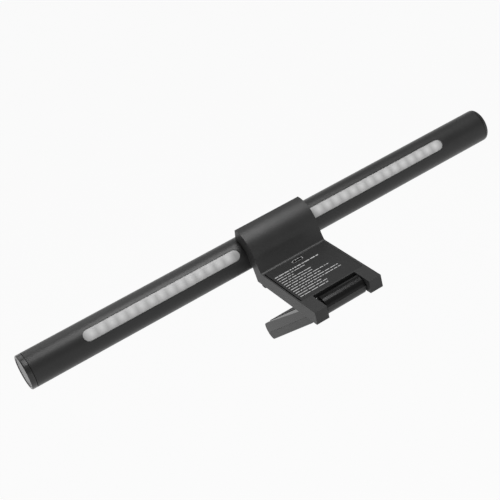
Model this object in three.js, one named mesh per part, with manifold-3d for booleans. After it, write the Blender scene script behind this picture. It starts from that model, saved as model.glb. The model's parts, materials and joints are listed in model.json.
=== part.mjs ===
// A clip-on monitor light bar. A round light bar hangs in a hooked bracket, a flat plate rests
// on the top edge of a monitor, and a sprung leg swings in against the back of the monitor.
// Millimetres. X runs along the bar, +Y points behind the monitor, +Z is up.
// The drawing origin is the bar's axis, midway along the bracket. The finished group is moved
// so that its origin is the middle of the pad that rests on the monitor.

import * as THREE from 'three';
import { mergeVertices } from 'three/addons/utils/BufferGeometryUtils.js';
import Module from 'manifold-3d';

const wasm = await Module();
wasm.setup();

// ---------------------------------------------------------------- driving dimensions

const GAP = 0.3;

// Light bar: angles are degrees about the bar's axis, from +Y (rearwards) towards +Z (up).
const BAR_RADIUS = 12.5;
const BAR_WALL = 1.2;
const BAR_CENTRE_X = 1.2;
const TUBE_HALF_LENGTH = 192;
const LEFT_CAP_FLANGE = 3.8;
const RIGHT_CAP_FLANGE = 2.6;
const CAP_PLUG_LENGTH = 3.2;
const BACK_LIGHT_ANGLE = 40.2;
const BACK_WINDOW = { start: 29.7, end: 153, width: 8.6 };
const FRONT_LIGHT_ANGLE = -110;
const FRONT_WINDOW = { halfLength: 180, width: 14.4, corner: 2.5 };
const LENS_FLANGE = 1.2;
const TILT_LIMIT = 12.5;

// Bracket
const BRACKET_HALF_WIDTH = 27;
const SIDE_WALL = 2;
const HOOK_CENTRE = { y: 3.5, z: 2.2 };
const HOOK_RADIUS = 19.6;
const HOOK_START_ANGLE = 92.9;
const HOOK_END_ANGLE = 12;
const HOOK_CLEARANCE_RADIUS = 13.1;
const CREASE_Y = 26.6;
const PLATE_TOP_Z = -4.7;
const PLATE_BOTTOM_Z = -14.9;
const PLATE_END_Y = 91.5;
const TOP_WALL = 2;
const PANEL = { startY: 28.4, endY: 74, sideMargin: 1.6, recess: 1.3 };
const COVER_THICKNESS = 1.8;
const COVER_START_Y = 21.4;
const COVER_END_Y = 61.9;
const REST_PAD = { startY: 28, endY: 59, halfWidth: 19, proud: 0.8, sunk: 0.9 };
const LIP = { startY: 22.1, endY: 26.5, halfWidth: 26.5, drop: 2.4 };
const PORT = { y: 31.8, length: 8.94, width: 3.26, topZ: -5.0, height: 6.5 };

// Hinge and leg
const HINGE = { y: 81, z: -11.2 };
const BARREL_RADIUS = 6.46;
const LEG_HALF_WIDTH = 16.5;
const NOTCH_HALF_WIDTH = 17.25;
const NOTCH_FRONT_Y = 75;
const NOTCH_STEP_Z = -7.9;
const LEG_ANGLE = 36.7;
const LEG_INNER_Z = 4.88;
const LEG_OUTER_Z = -8.12;
const LEG_PARTING_Z = -2.58;
const LEG_TAPER_Y = -29;
const NOSE = { y: -107.2, z: -1.62, radius: 8.3 };
const LEG_PAD = { startY: -52, endY: -108, halfWidth: 13, proud: 0.8, sunk: 0.9 };
const PIN = { radius: 1.5, bore: 1.8, halfLength: 24.4, boreHalfLength: 24.8 };
const SPRING = { start: -14.2, end: -4.4, radius: 3.1, wire: 0.45, turns: 7, pocket: 4.2 };

// Screws: shank radius, head radius and head height
const SMALL_SCREW = { shank: 0.85, head: 1.6, headHeight: 0.8 };
const CAP_SCREW = { shank: 1.0, head: 2.0, headHeight: 1.1 };

// Facets round the bar and round a rod. three.js splits each arc of an outline into twice
// its segment number.
const BAR_SEGMENTS = 48;
const ROD_SEGMENTS = 12;
const ARC_SEGMENTS = 8;
const CORNER_SEGMENTS = 2;
const SLOT_SEGMENTS = 4;

// ---------------------------------------------------------------- materials

function finish(color, roughness, metalness) {
  return new THREE.MeshStandardMaterial({ color, roughness, metalness });
}

const darkAnodised = () => finish(0x2e3033, 0.45, 0.6);
const darkPlastic = () => finish(0x2b2c2e, 0.6, 0);
const greyPlastic = () => finish(0x808080, 0.55, 0);
const milkyLens = () => finish(0xeeece6, 0.35, 0);
const silicone = () => finish(0x18181a, 0.85, 0);
const circuitBoard = () => finish(0xe8e8e4, 0.6, 0);
const steel = () => finish(0x9a9da1, 0.35, 1);
const aluminium = () => finish(0xb9bcc0, 0.4, 1);
const wireSleeve = () => finish(0x1c1c1e, 0.7, 0);

// ---------------------------------------------------------------- solids

const radians = THREE.MathUtils.degToRad;

// A closed three.js geometry becomes a solid that can be cut and joined.
function solidOf(geometry) {
  geometry.deleteAttribute('normal');
  geometry.deleteAttribute('uv');
  const merged = mergeVertices(geometry, 1e-4);
  const points = merged.attributes.position;
  const triangles = [];
  const a = new THREE.Vector3();
  const b = new THREE.Vector3();
  const c = new THREE.Vector3();
  let volume = 0;
  for (let i = 0; i < merged.index.count; i += 3) {
    const [p, q, r] = [0, 1, 2].map((k) => merged.index.getX(i + k));
    if (p === q || q === r || r === p) continue;
    a.fromBufferAttribute(points, p);
    b.fromBufferAttribute(points, q);
    c.fromBufferAttribute(points, r);
    volume += a.dot(b.cross(c));
    triangles.push(p, q, r);
  }
  if (volume < 0) triangles.reverse();
  const vertProperties = new Float32Array(points.array);
  const triVerts = new Uint32Array(triangles);
  return new wasm.Manifold(new wasm.Mesh({ numProp: 3, vertProperties, triVerts }));
}

function joined(solids) {
  return solids.reduce((whole, solid) => whole.add(solid));
}

function cut(solid, cutters) {
  return cutters.reduce((rest, cutter) => rest.subtract(cutter), solid);
}

// An outline in the (y, z) plane, extruded along X from one x to another.
function alongX(shape, x0, x1, curveSegments = ARC_SEGMENTS) {
  const options = { depth: x1 - x0, bevelEnabled: false, steps: 1, curveSegments };
  const geometry = new THREE.ExtrudeGeometry(shape, options);
  const place = new THREE.Matrix4().makeBasis(
    new THREE.Vector3(0, 1, 0),
    new THREE.Vector3(0, 0, 1),
    new THREE.Vector3(1, 0, 0),
  );
  geometry.applyMatrix4(place);
  geometry.translate(x0, 0, 0);
  return solidOf(geometry);
}

// An outline in the (x, y) plane, extruded up from one z to another.
function upward(shape, z0, z1, curveSegments = CORNER_SEGMENTS) {
  const options = { depth: z1 - z0, bevelEnabled: false, steps: 1, curveSegments };
  const geometry = new THREE.ExtrudeGeometry(shape, options);
  geometry.translate(0, 0, z0);
  return solidOf(geometry);
}

// Turns a solid made upward along Z so that it points out of the bar's axis at an angle.
function outward(solid, degrees) {
  return solid.rotate([degrees - 90, 0, 0]);
}

// A profile of [radius, x] points turned about the bar's axis.
function turned(profile, segments = BAR_SEGMENTS) {
  const points = profile.map(([radius, x]) => new THREE.Vector2(radius, x));
  const geometry = new THREE.LatheGeometry(points, segments);
  geometry.rotateZ(-Math.PI / 2);
  return solidOf(geometry);
}

function ring(inner, outer, x0, x1, segments = BAR_SEGMENTS) {
  return turned([[inner, x0], [outer, x0], [outer, x1], [inner, x1], [inner, x0]], segments);
}

function disc(radius, x0, x1, segments = BAR_SEGMENTS) {
  return turned([[0, x0], [radius, x0], [radius, x1], [0, x1]], segments);
}

function box(x0, x1, y0, y1, z0, z1) {
  const geometry = new THREE.BoxGeometry(x1 - x0, y1 - y0, z1 - z0);
  geometry.translate((x0 + x1) / 2, (y0 + y1) / 2, (z0 + z1) / 2);
  return solidOf(geometry);
}

// A round rod standing on Z at (x, y).
function rod(radius, x, y, z0, z1, segments = ROD_SEGMENTS) {
  const geometry = new THREE.CylinderGeometry(radius, radius, z1 - z0, segments);
  geometry.rotateX(Math.PI / 2);
  geometry.translate(x, y, (z0 + z1) / 2);
  return solidOf(geometry);
}

// A round rod along X at (y, z).
function rodAlongX(radius, y, z, x0, x1, segments = ROD_SEGMENTS) {
  return disc(radius, x0, x1, segments).translate([0, y, z]);
}

function roundedRectangle(x0, x1, y0, y1, radius) {
  const shape = new THREE.Shape();
  shape.moveTo(x0 + radius, y0);
  shape.lineTo(x1 - radius, y0);
  shape.absarc(x1 - radius, y0 + radius, radius, -Math.PI / 2, 0, false);
  shape.lineTo(x1, y1 - radius);
  shape.absarc(x1 - radius, y1 - radius, radius, 0, Math.PI / 2, false);
  shape.lineTo(x0 + radius, y1);
  shape.absarc(x0 + radius, y1 - radius, radius, Math.PI / 2, Math.PI, false);
  shape.lineTo(x0, y0 + radius);
  shape.absarc(x0 + radius, y0 + radius, radius, Math.PI, 1.5 * Math.PI, false);
  return shape;
}

// A slot with full round ends, centred on y = 0.
function slot(x0, x1, width) {
  return roundedRectangle(x0, x1, -width / 2, width / 2, width / 2 - 0.001);
}

function polygon(points) {
  return new THREE.Shape(points.map(([y, z]) => new THREE.Vector2(y, z)));
}

// A screw along Z: the head lies below z = 0 and the shank rises to its length.
function screwSolid(size, length) {
  const head = rod(size.head, 0, 0, -size.headHeight, 0);
  const shank = rod(size.shank, 0, 0, -size.headHeight / 2, length, 8);
  const drive = rod(size.head * 0.42, 0, 0, -size.headHeight - 1, -size.headHeight * 0.4, 6);
  return cut(joined([head, shank]), [drive]);
}

function meshOf(solid) {
  const { numProp, vertProperties, triVerts } = solid.getMesh();
  const geometry = new THREE.BufferGeometry();
  const positions = new Float32Array((vertProperties.length / numProp) * 3);
  for (let i = 0; i < positions.length / 3; i += 1) {
    positions.set(vertProperties.subarray(i * numProp, i * numProp + 3), i * 3);
  }
  geometry.setAttribute('position', new THREE.BufferAttribute(positions, 3));
  geometry.setIndex(new THREE.BufferAttribute(new Uint32Array(triVerts), 1));
  geometry.computeVertexNormals();
  return geometry;
}

function piece(name, solid, material) {
  const mesh = new THREE.Mesh(meshOf(solid), material);
  mesh.name = name;
  return mesh;
}

// ---------------------------------------------------------------- light bar

const BORE_RADIUS = BAR_RADIUS - BAR_WALL;
const INSERT_RADIUS = BORE_RADIUS - GAP;
const CAP_RIM_X = TUBE_HALF_LENGTH + GAP;
const CAP_INNER_X = CAP_RIM_X - CAP_PLUG_LENGTH;
const LEFT_END_X = CAP_RIM_X + LEFT_CAP_FLANGE;
const RIGHT_END_X = CAP_RIM_X + RIGHT_CAP_FLANGE;
const CARRIER_END = CAP_INNER_X - GAP;

// The carrier's section is laid out about an axis halfway between its two light directions.
const CARRIER_ANGLE = (BACK_LIGHT_ANGLE + FRONT_LIGHT_ANGLE) / 2;
const BACK_FACE_OFFSET = 5.6;
const FRONT_FACE_OFFSET = 5.0;
const SCREW_PORTS = [6.6, -6.6];
const BOARD_THICKNESS = 1.0;
const BACK_BOARD = { start: 27, end: 156, width: 8, pitch: 7.7, count: 15 };
const FRONT_BOARD = { halfLength: 178, width: 10, pitch: 10, count: 35 };
const LED = { length: 2.8, width: 2.8, height: 0.7 };

// The clamp that lets the bar turn in the hook with friction
const NECK = { halfLength: 12, halfWidth: 3, screwX: 7, wireBore: 1.6 };
const SHOE = { halfLength: 20, halfAngle: 38, innerRadius: 8.6 };
const SLOT_HALF_ANGLE = TILT_LIMIT + 16.5;

function windowCutter(x0, x1, width, corner, degrees) {
  const outline = roundedRectangle(x0, x1, -width / 2, width / 2, corner);
  return outward(upward(outline, BORE_RADIUS * 0.6, BAR_RADIUS + 2, SLOT_SEGMENTS), degrees);
}

function backWindow(side, grow, degrees = BACK_LIGHT_ANGLE) {
  const ends = [side * BACK_WINDOW.start, side * BACK_WINDOW.end].sort((p, q) => p - q);
  const width = BACK_WINDOW.width + 2 * grow;
  return windowCutter(ends[0] - grow, ends[1] + grow, width, width / 2 - 0.001, degrees);
}

function frontWindow(grow) {
  const { halfLength, width, corner } = FRONT_WINDOW;
  const reach = halfLength + grow;
  return windowCutter(-reach, reach, width + 2 * grow, corner, FRONT_LIGHT_ANGLE);
}

// A sector of a ring between two angles, from one x to another.
function sector(inner, outer, from, to, x0, x1) {
  const shape = new THREE.Shape();
  shape.absarc(0, 0, outer, radians(from), radians(to), false);
  shape.absarc(0, 0, inner, radians(to), radians(from), true);
  return alongX(shape, x0, x1);
}

function tubeHousing() {
  const from = BACK_LIGHT_ANGLE - SLOT_HALF_ANGLE;
  const to = BACK_LIGHT_ANGLE + SLOT_HALF_ANGLE;
  const slotMiddle = -BAR_CENTRE_X;
  const slotHalf = NECK.halfLength + 0.5;
  return cut(ring(BORE_RADIUS, BAR_RADIUS, -TUBE_HALF_LENGTH, TUBE_HALF_LENGTH), [
    backWindow(1, 0),
    backWindow(-1, 0),
    frontWindow(0),
    sector(BORE_RADIUS - 2, BAR_RADIUS + 2, from, to, slotMiddle - slotHalf, slotMiddle + slotHalf),
  ]);
}

// A lens stands in its window and has a wider flange behind the wall.
function steppedLens(body, flange, face, x0, x1) {
  const front = ring(INSERT_RADIUS - 0.6, face, x0, x1).intersect(body);
  const back = ring(INSERT_RADIUS - 1.1, INSERT_RADIUS, x0, x1).intersect(flange);
  return joined([front, back]);
}

function backLens(side) {
  const reach = [BACK_WINDOW.start - 4, BACK_WINDOW.end + 4].map((x) => side * x);
  const [x0, x1] = reach.sort((p, q) => p - q);
  return steppedLens(backWindow(side, -GAP), backWindow(side, LENS_FLANGE), 12.05, x0, x1);
}

function frontLens() {
  const reach = FRONT_WINDOW.halfLength + 4;
  return steppedLens(frontWindow(-GAP), frontWindow(LENS_FLANGE), 12.35, -reach, reach);
}

// A board lies flat on the carrier's face, with a row of LEDs on it.
function ledBoard(x0, x1, width, offset, pitch, count, degrees) {
  const top = offset + BOARD_THICKNESS;
  const middle = (x0 + x1) / 2;
  const leds = Array.from({ length: count }, (_, i) => {
    const x = middle + (i - (count - 1) / 2) * pitch;
    const [halfX, halfY] = [LED.length / 2, LED.width / 2];
    return box(x - halfX, x + halfX, -halfY, halfY, top - 0.2, top + LED.height);
  });
  const board = box(x0, x1, -width / 2, width / 2, offset, top);
  return outward(joined([board, ...leds]), degrees);
}

function backLedBoard(side) {
  const { start, end, width, pitch, count } = BACK_BOARD;
  const [x0, x1] = [side * start, side * end].sort((p, q) => p - q);
  return ledBoard(x0, x1, width, BACK_FACE_OFFSET + GAP, pitch, count, BACK_LIGHT_ANGLE);
}

function frontLedBoard() {
  const { halfLength, width, pitch, count } = FRONT_BOARD;
  const offset = FRONT_FACE_OFFSET + GAP;
  return ledBoard(-halfLength, halfLength, width, offset, pitch, count, FRONT_LIGHT_ANGLE);
}

// The flat of the carrier that faces a light direction, as its two edge points.
function carrierFlat(offset, halfWidth, degrees) {
  const turn = radians(degrees);
  const [c, s] = [Math.cos(turn), Math.sin(turn)];
  return [1, -1].map((side) => [offset * c - side * halfWidth * s, offset * s + side * halfWidth * c]);
}

function ledCarrier() {
  const spread = (BACK_LIGHT_ANGLE - FRONT_LIGHT_ANGLE) / 2;
  const [upperFar, upperNear] = carrierFlat(BACK_FACE_OFFSET, 4.6, spread);
  const [lowerNear, lowerFar] = carrierFlat(FRONT_FACE_OFFSET, 5.2, -spread);
  const outline = [
    upperNear, [9, 1.8], [10.7, 1.8], [10.7, -1.8], [9, -1.8], lowerNear,
    lowerFar, [-8.6, -2.4], [-10.7, -2], [-10.7, 2], [-8.6, 2.4], upperFar,
  ];
  const bar = alongX(polygon(outline), -CARRIER_END, CARRIER_END);
  const holes = SCREW_PORTS.map((y) => rodAlongX(1.25, y, 0, -200, 200, 12));
  const core = rodAlongX(3.2, 0.8, 0, -200, 200);
  return cut(bar, [core, ...holes]).rotate([CARRIER_ANGLE, 0, 0]);
}

function driverBoard() {
  const base = BACK_FACE_OFFSET + GAP;
  const top = base + BOARD_THICKNESS;
  const parts = [
    box(159, 183, -4, 4, base, top),
    box(162, 168, -2.5, 2.5, top - 0.2, top + 1.4),
    box(171, 175, -2, 2, top - 0.2, top + 1),
    box(177.5, 181.5, -3, 3, top - 0.2, top + 1.2),
  ];
  return outward(joined(parts), BACK_LIGHT_ANGLE);
}

function capScrewHoles(x0, x1, radius) {
  return SCREW_PORTS.map((y) => rodAlongX(radius, y, 0, x0, x1).rotate([CARRIER_ANGLE, 0, 0]));
}

// A cap's edge is rounded between its rim and its end face.
function capProfile(endX, edge) {
  const rounded = [0, 45, 90].map((degrees) => {
    const turn = radians(degrees);
    const radius = BAR_RADIUS - edge + edge * Math.cos(turn);
    return [radius, endX - edge + edge * Math.sin(turn)];
  });
  return [[0, CAP_INNER_X], [INSERT_RADIUS, CAP_INNER_X], [INSERT_RADIUS, CAP_RIM_X],
    [BAR_RADIUS, CAP_RIM_X], ...rounded, [0, endX]];
}

const DISC = { radius: 10.3, recess: 1, thickness: 1.5 };
const DISC_FACE_X = LEFT_END_X - DISC.recess;
const DISC_BACK_X = DISC_FACE_X - DISC.thickness;
const INDICATOR = { offset: 8.4, angle: -56, radius: 0.75 };
const CAP_FLOOR_X = CAP_INNER_X + 1.5;

function leftCap() {
  return cut(turned(capProfile(LEFT_END_X, 0.8)), [
    disc(DISC.radius + GAP, DISC_BACK_X - GAP, LEFT_END_X + 1),
    disc(9, CAP_FLOOR_X, LEFT_END_X + 1),
    ...capScrewHoles(CAP_INNER_X - 1, CAP_FLOOR_X + 1, CAP_SCREW.shank + 0.25),
  ]);
}

function indicatorRod(radius, x0, x1) {
  const turn = radians(INDICATOR.angle);
  const [y, z] = [INDICATOR.offset * Math.cos(turn), INDICATOR.offset * Math.sin(turn)];
  return rodAlongX(radius, y, z, x0, x1, 12);
}

function touchDisc() {
  const plate = disc(DISC.radius, DISC_BACK_X, DISC_FACE_X);
  return cut(plate, [indicatorRod(INDICATOR.radius + 0.25, DISC_BACK_X - 1, DISC_FACE_X + 1)]);
}

function touchBoard() {
  const back = DISC_BACK_X - GAP;
  const chip = box(back - 2, back - 0.8, -2, 2, -2, 2);
  return joined([disc(8.6, back - 1, back, 24), chip]);
}

function indicatorLens() {
  return indicatorRod(INDICATOR.radius, DISC_BACK_X, DISC_FACE_X - 0.1);
}

const RIGHT_COUNTERBORE = 1.6;

function rightCap() {
  const deep = RIGHT_END_X - RIGHT_COUNTERBORE;
  const cap = cut(turned(capProfile(RIGHT_END_X, 1)), [
    ...capScrewHoles(CAP_INNER_X - 1, RIGHT_END_X + 1, CAP_SCREW.shank + 0.25),
    ...capScrewHoles(deep, RIGHT_END_X + 1, CAP_SCREW.head + 0.25),
    disc(4, CAP_INNER_X - 1, RIGHT_END_X - 2),
  ]);
  return cap.mirror([1, 0, 0]);
}

// A cap screw is driven along X from outside the cap into one of the carrier's ports.
function capScrew(side, port, seatX, length) {
  const along = screwSolid(CAP_SCREW, length).rotate([0, -90 * side, 0]);
  return along.translate([side * seatX, port, 0]).rotate([CARRIER_ANGLE, 0, 0]);
}

function lightBar() {
  const group = new THREE.Group();
  group.add(piece('tube_housing', tubeHousing(), darkAnodised()));
  group.add(piece('rear_diffuser_left', backLens(1), milkyLens()));
  group.add(piece('rear_diffuser_right', backLens(-1), milkyLens()));
  group.add(piece('front_diffuser', frontLens(), milkyLens()));
  group.add(piece('rear_led_board_left', backLedBoard(1), circuitBoard()));
  group.add(piece('rear_led_board_right', backLedBoard(-1), circuitBoard()));
  group.add(piece('front_led_board', frontLedBoard(), circuitBoard()));
  group.add(piece('led_carrier', ledCarrier(), aluminium()));
  group.add(piece('driver_board', driverBoard(), circuitBoard()));
  group.add(piece('end_cap_left', leftCap(), darkPlastic()));
  group.add(piece('touch_disc', touchDisc(), greyPlastic()));
  group.add(piece('touch_board', touchBoard(), circuitBoard()));
  group.add(piece('indicator_lens', indicatorLens(), milkyLens()));
  group.add(piece('end_cap_right', rightCap(), darkPlastic()));
  SCREW_PORTS.forEach((port, i) => {
    const leftSeat = CAP_FLOOR_X + 0.1;
    const rightSeat = RIGHT_END_X - RIGHT_COUNTERBORE + 0.1;
    group.add(piece(`cap_screw_left_${i + 1}`, capScrew(1, port, leftSeat, 9), steel()));
    group.add(piece(`cap_screw_right_${i + 1}`, capScrew(-1, port, rightSeat, 12), steel()));
  });
  group.position.x = BAR_CENTRE_X;
  return group;
}

// ---------------------------------------------------------------- bracket

const onHook = (radius, degrees) => {
  const turn = radians(degrees);
  return [HOOK_CENTRE.y + radius * Math.cos(turn), HOOK_CENTRE.z + radius * Math.sin(turn)];
};

// Side outline of hook, web and plate.
function bracketOutline() {
  const { y, z } = HOOK_CENTRE;
  const shape = new THREE.Shape();
  shape.moveTo(...onHook(HOOK_RADIUS, HOOK_START_ANGLE));
  shape.absarc(y, z, HOOK_RADIUS, radians(HOOK_START_ANGLE), radians(HOOK_END_ANGLE), true);
  shape.quadraticCurveTo(23.9, 0.5, 25.9, -3.35);
  shape.quadraticCurveTo(CREASE_Y, PLATE_TOP_Z, CREASE_Y + 1.5, PLATE_TOP_Z);
  shape.lineTo(PLATE_END_Y, PLATE_TOP_Z);
  shape.lineTo(PLATE_END_Y, PLATE_BOTTOM_Z + 1.2);
  shape.quadraticCurveTo(PLATE_END_Y, PLATE_BOTTOM_Z, PLATE_END_Y - 1.2, PLATE_BOTTOM_Z);
  shape.lineTo(18, PLATE_BOTTOM_Z);
  shape.lineTo(15.9, -4.1);
  shape.lineTo(12.97, -1.8);
  shape.absarc(0, 0, HOOK_CLEARANCE_RADIUS, radians(-7.9), radians(90.4), false);
  shape.lineTo(0.6, 15.5);
  return shape;
}

// The hollow inside hook, web and plate. It opens on the bar's side and on the underside.
function bracketHollow() {
  const { y, z } = HOOK_CENTRE;
  const inner = HOOK_RADIUS - SIDE_WALL;
  const below = PLATE_BOTTOM_Z - 5;
  const shape = new THREE.Shape();
  shape.moveTo(...onHook(inner, 88));
  shape.absarc(y, z, inner, radians(88), radians(HOOK_END_ANGLE), true);
  shape.quadraticCurveTo(22, 0.2, 24.4, PLATE_TOP_Z - TOP_WALL);
  shape.lineTo(71.5, PLATE_TOP_Z - TOP_WALL);
  shape.lineTo(71.5, -8.1);
  shape.lineTo(COVER_END_Y + GAP, PLATE_BOTTOM_Z);
  shape.lineTo(COVER_END_Y + GAP, below);
  shape.lineTo(COVER_START_Y - GAP, below);
  shape.lineTo(COVER_START_Y - GAP, PLATE_BOTTOM_Z);
  shape.lineTo(18.4, -4.2);
  shape.lineTo(15.6, 0.2);
  shape.lineTo(10.5, 0.2);
  shape.lineTo(2, 9);
  shape.lineTo(2.3, 15.5);
  return shape;
}

// The notch in the plate's rear edge that the leg's barrel turns in.
function hingeNotch() {
  const slopeRun = (NOTCH_STEP_Z - PLATE_BOTTOM_Z) / Math.tan(radians(LEG_ANGLE));
  const outline = polygon([
    [NOTCH_FRONT_Y, 5],
    [NOTCH_FRONT_Y, NOTCH_STEP_Z],
    [NOTCH_FRONT_Y - slopeRun, PLATE_BOTTOM_Z],
    [NOTCH_FRONT_Y - slopeRun, PLATE_BOTTOM_Z - 5],
    [PLATE_END_Y + 5, PLATE_BOTTOM_Z - 5],
    [PLATE_END_Y + 5, 5],
  ]);
  return alongX(outline, -NOTCH_HALF_WIDTH, NOTCH_HALF_WIDTH);
}

const COVER_SCREWS = [[-22, 30], [22, 30], [-22, 57], [22, 57]];
const COVER_TOP_Z = PLATE_BOTTOM_Z + COVER_THICKNESS;
const LINER_SCREW_X = [-16, 16];
const LINER = { inner: HOOK_CLEARANCE_RADIUS, outer: 14.9, from: 2.6, to: 78 };
const SHELL_SCREW_SEAT = 14.2;

function portSlot(grow) {
  const half = PORT.length / 2 + grow;
  return slot(-half, half, PORT.width + 2 * grow);
}

function panelOutline(grow) {
  const half = BRACKET_HALF_WIDTH - PANEL.sideMargin + grow;
  return roundedRectangle(-half, half, PANEL.startY - grow, PANEL.endY + grow, 0.8);
}

function bracketShell() {
  const inside = BRACKET_HALF_WIDTH - SIDE_WALL;
  const floor = PLATE_TOP_Z - PANEL.recess;
  const posts = COVER_SCREWS.map(([x, y]) => {
    const post = rod(2.6, x, y, COVER_TOP_Z + GAP, PLATE_TOP_Z - 1.6);
    const rib = box(Math.min(x, 26 * Math.sign(x)), Math.max(x, 26 * Math.sign(x)), y - 1, y + 1,
      COVER_TOP_Z + GAP, PLATE_TOP_Z - 1.6);
    return joined([post, rib]);
  });
  const bosses = LINER_SCREW_X.map((x) => {
    return outward(rod(2.4, x, 0, LINER.outer + GAP, 22.6), BACK_LIGHT_ANGLE);
  });
  const hollow = alongX(bracketHollow(), -inside, inside);
  const shell = alongX(bracketOutline(), -BRACKET_HALF_WIDTH, BRACKET_HALF_WIDTH).subtract(hollow);
  const postHoles = COVER_SCREWS.map(([x, y]) => rod(1.05, x, y, PLATE_BOTTOM_Z - 1, -8, 12));
  const bossHoles = LINER_SCREW_X.map((x) => outward(rod(1.05, x, 0, 13, 19.4, 12), BACK_LIGHT_ANGLE));
  return cut(joined([shell, ...posts, ...bosses]), [
    hingeNotch(),
    upward(panelOutline(0), floor, PLATE_TOP_Z + 5),
    upward(portSlot(0.6), floor - 2, floor + 1, SLOT_SEGMENTS).translate([0, PORT.y, 0]),
    rodAlongX(PIN.bore, HINGE.y, HINGE.z, -PIN.boreHalfLength, PIN.boreHalfLength),
    springEarHole(),
    ...postHoles,
    ...bossHoles,
  ]);
}

function topPanel() {
  const panel = upward(panelOutline(-GAP), PLATE_TOP_Z - PANEL.recess + GAP, PLATE_TOP_Z - 0.05);
  return cut(panel, [upward(portSlot(0.25), -8, 0, SLOT_SEGMENTS).translate([0, PORT.y, 0])]);
}

function clampScrewHoles(radius, from, to) {
  return [-NECK.screwX, NECK.screwX].map((x) => outward(rod(radius, x, 0, from, to, 12), BACK_LIGHT_ANGLE));
}

// The liner closes the hook on the bar's side and carries the neck that enters the bar.
function hookLiner() {
  const half = BRACKET_HALF_WIDTH - SIDE_WALL - GAP;
  const arc = sector(LINER.inner, LINER.outer, LINER.from, LINER.to, -half, half);
  const { halfLength, halfWidth } = NECK;
  const stem = box(-halfLength, halfLength, -halfWidth, halfWidth, BORE_RADIUS, LINER.outer);
  const neck = outward(stem, BACK_LIGHT_ANGLE).subtract(disc(BORE_RADIUS, -30, 30));
  const wire = outward(rod(NECK.wireBore, 0, 0, 5, 20), BACK_LIGHT_ANGLE);
  const through = LINER_SCREW_X.map((x) => outward(rod(1.1, x, 0, 12, 16, 12), BACK_LIGHT_ANGLE));
  const seats = LINER_SCREW_X.map((x) => {
    return outward(rod(SMALL_SCREW.head + 0.2, x, 0, 11, SHELL_SCREW_SEAT), BACK_LIGHT_ANGLE);
  });
  return cut(joined([arc, neck]), [wire, ...through, ...seats, ...clampScrewHoles(1.05, 5, 14.5)]);
}

function clampShoe() {
  const { halfLength, halfAngle, innerRadius } = SHOE;
  const from = BACK_LIGHT_ANGLE - halfAngle;
  const to = BACK_LIGHT_ANGLE + halfAngle;
  const arc = sector(innerRadius, INSERT_RADIUS, from, to, -halfLength, halfLength);
  const wire = outward(rod(NECK.wireBore, 0, 0, 5, 20), BACK_LIGHT_ANGLE);
  const seats = [-NECK.screwX, NECK.screwX].map((x) => {
    return outward(rod(SMALL_SCREW.head + 0.2, x, 0, 5, 9.6), BACK_LIGHT_ANGLE);
  });
  return cut(arc, [wire, ...seats, ...clampScrewHoles(1.1, 5, 14.5)]);
}

function radialScrew(x, seat, length) {
  return outward(screwSolid(SMALL_SCREW, length).translate([x, 0, seat]), BACK_LIGHT_ANGLE);
}

function baseCover() {
  const half = BRACKET_HALF_WIDTH - SIDE_WALL - GAP;
  const plate = roundedRectangle(-half, half, COVER_START_Y, COVER_END_Y, 1);
  const sunk = PLATE_BOTTOM_Z + REST_PAD.sunk;
  const holes = COVER_SCREWS.map(([x, y]) => rod(1.1, x, y, -20, -10, 12));
  const seats = COVER_SCREWS.map(([x, y]) => rod(1.9, x, y, -20, PLATE_BOTTOM_Z + 1));
  return cut(upward(plate, PLATE_BOTTOM_Z, COVER_TOP_Z), [
    upward(restPadOutline(GAP), -20, sunk),
    upward(lipTongue(GAP), -20, -10),
    ...holes,
    ...seats,
  ]);
}

function restPadOutline(grow) {
  const half = REST_PAD.halfWidth + grow;
  return roundedRectangle(-half, half, REST_PAD.startY - grow, REST_PAD.endY + grow, 2);
}

function restPad() {
  const top = PLATE_BOTTOM_Z + REST_PAD.sunk - GAP;
  return upward(restPadOutline(0), PLATE_BOTTOM_Z - REST_PAD.proud, top);
}

function lipTongue(grow) {
  return roundedRectangle(-21 - grow, 21 + grow, 23.2 - grow, 25.4 + grow, 0.5);
}

function frontLip() {
  const { startY, endY, halfWidth, drop } = LIP;
  const strip = roundedRectangle(-halfWidth, halfWidth, startY, endY, 1);
  const bottom = PLATE_BOTTOM_Z - drop;
  const body = upward(strip, bottom, PLATE_BOTTOM_Z - GAP);
  return joined([body, upward(lipTongue(0), bottom + 1, COVER_TOP_Z)]);
}

function usbSocket() {
  const { topZ, height, y } = PORT;
  const shell = upward(portSlot(0), topZ - height, topZ, SLOT_SEGMENTS);
  const mouth = upward(portSlot(-0.3), topZ - height + 1, topZ + 1, SLOT_SEGMENTS);
  const tongue = box(-3.3, 3.3, -0.35, 0.35, topZ - height + 0.5, topZ - 0.8);
  return joined([shell.subtract(mouth), tongue]).translate([0, y, 0]);
}

function usbBoard() {
  const top = PORT.topZ - PORT.height - GAP;
  return joined([
    upward(roundedRectangle(-11, 11, 26, 48, 0.8), top - BOARD_THICKNESS, top),
    box(-3, 3, 37, 42, top - 0.2, top + 1.2),
    box(-8, -5, 38, 41, top - 0.2, top + 1.5),
    box(5, 8, 40, 45, top - 0.2, top + 1.8),
  ]);
}

// The wires run from the board up the web, round behind the liner and through the neck.
function powerHarness() {
  const route = [
    [27.6, -10.3], [24.6, -9], [21.4, -4], [19.4, 2], [18.1, 7.6], [16.2, 12], [13.2, 11.27], [7.2, 6.15],
  ];
  const path = new THREE.CatmullRomCurve3(route.map(([y, z]) => new THREE.Vector3(0, y, z)));
  const section = new THREE.Shape();
  section.absarc(0, 0, 1.1, 0, 2 * Math.PI, false);
  const options = { steps: 24, extrudePath: path, curveSegments: 4, bevelEnabled: false };
  return solidOf(new THREE.ExtrudeGeometry(section, options));
}

// ---------------------------------------------------------------- hinge

function springEarHole() {
  const arm = SPRING.radius;
  return rodAlongX(0.8, HINGE.y, HINGE.z + arm, -20.5, -16, 12);
}

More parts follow.
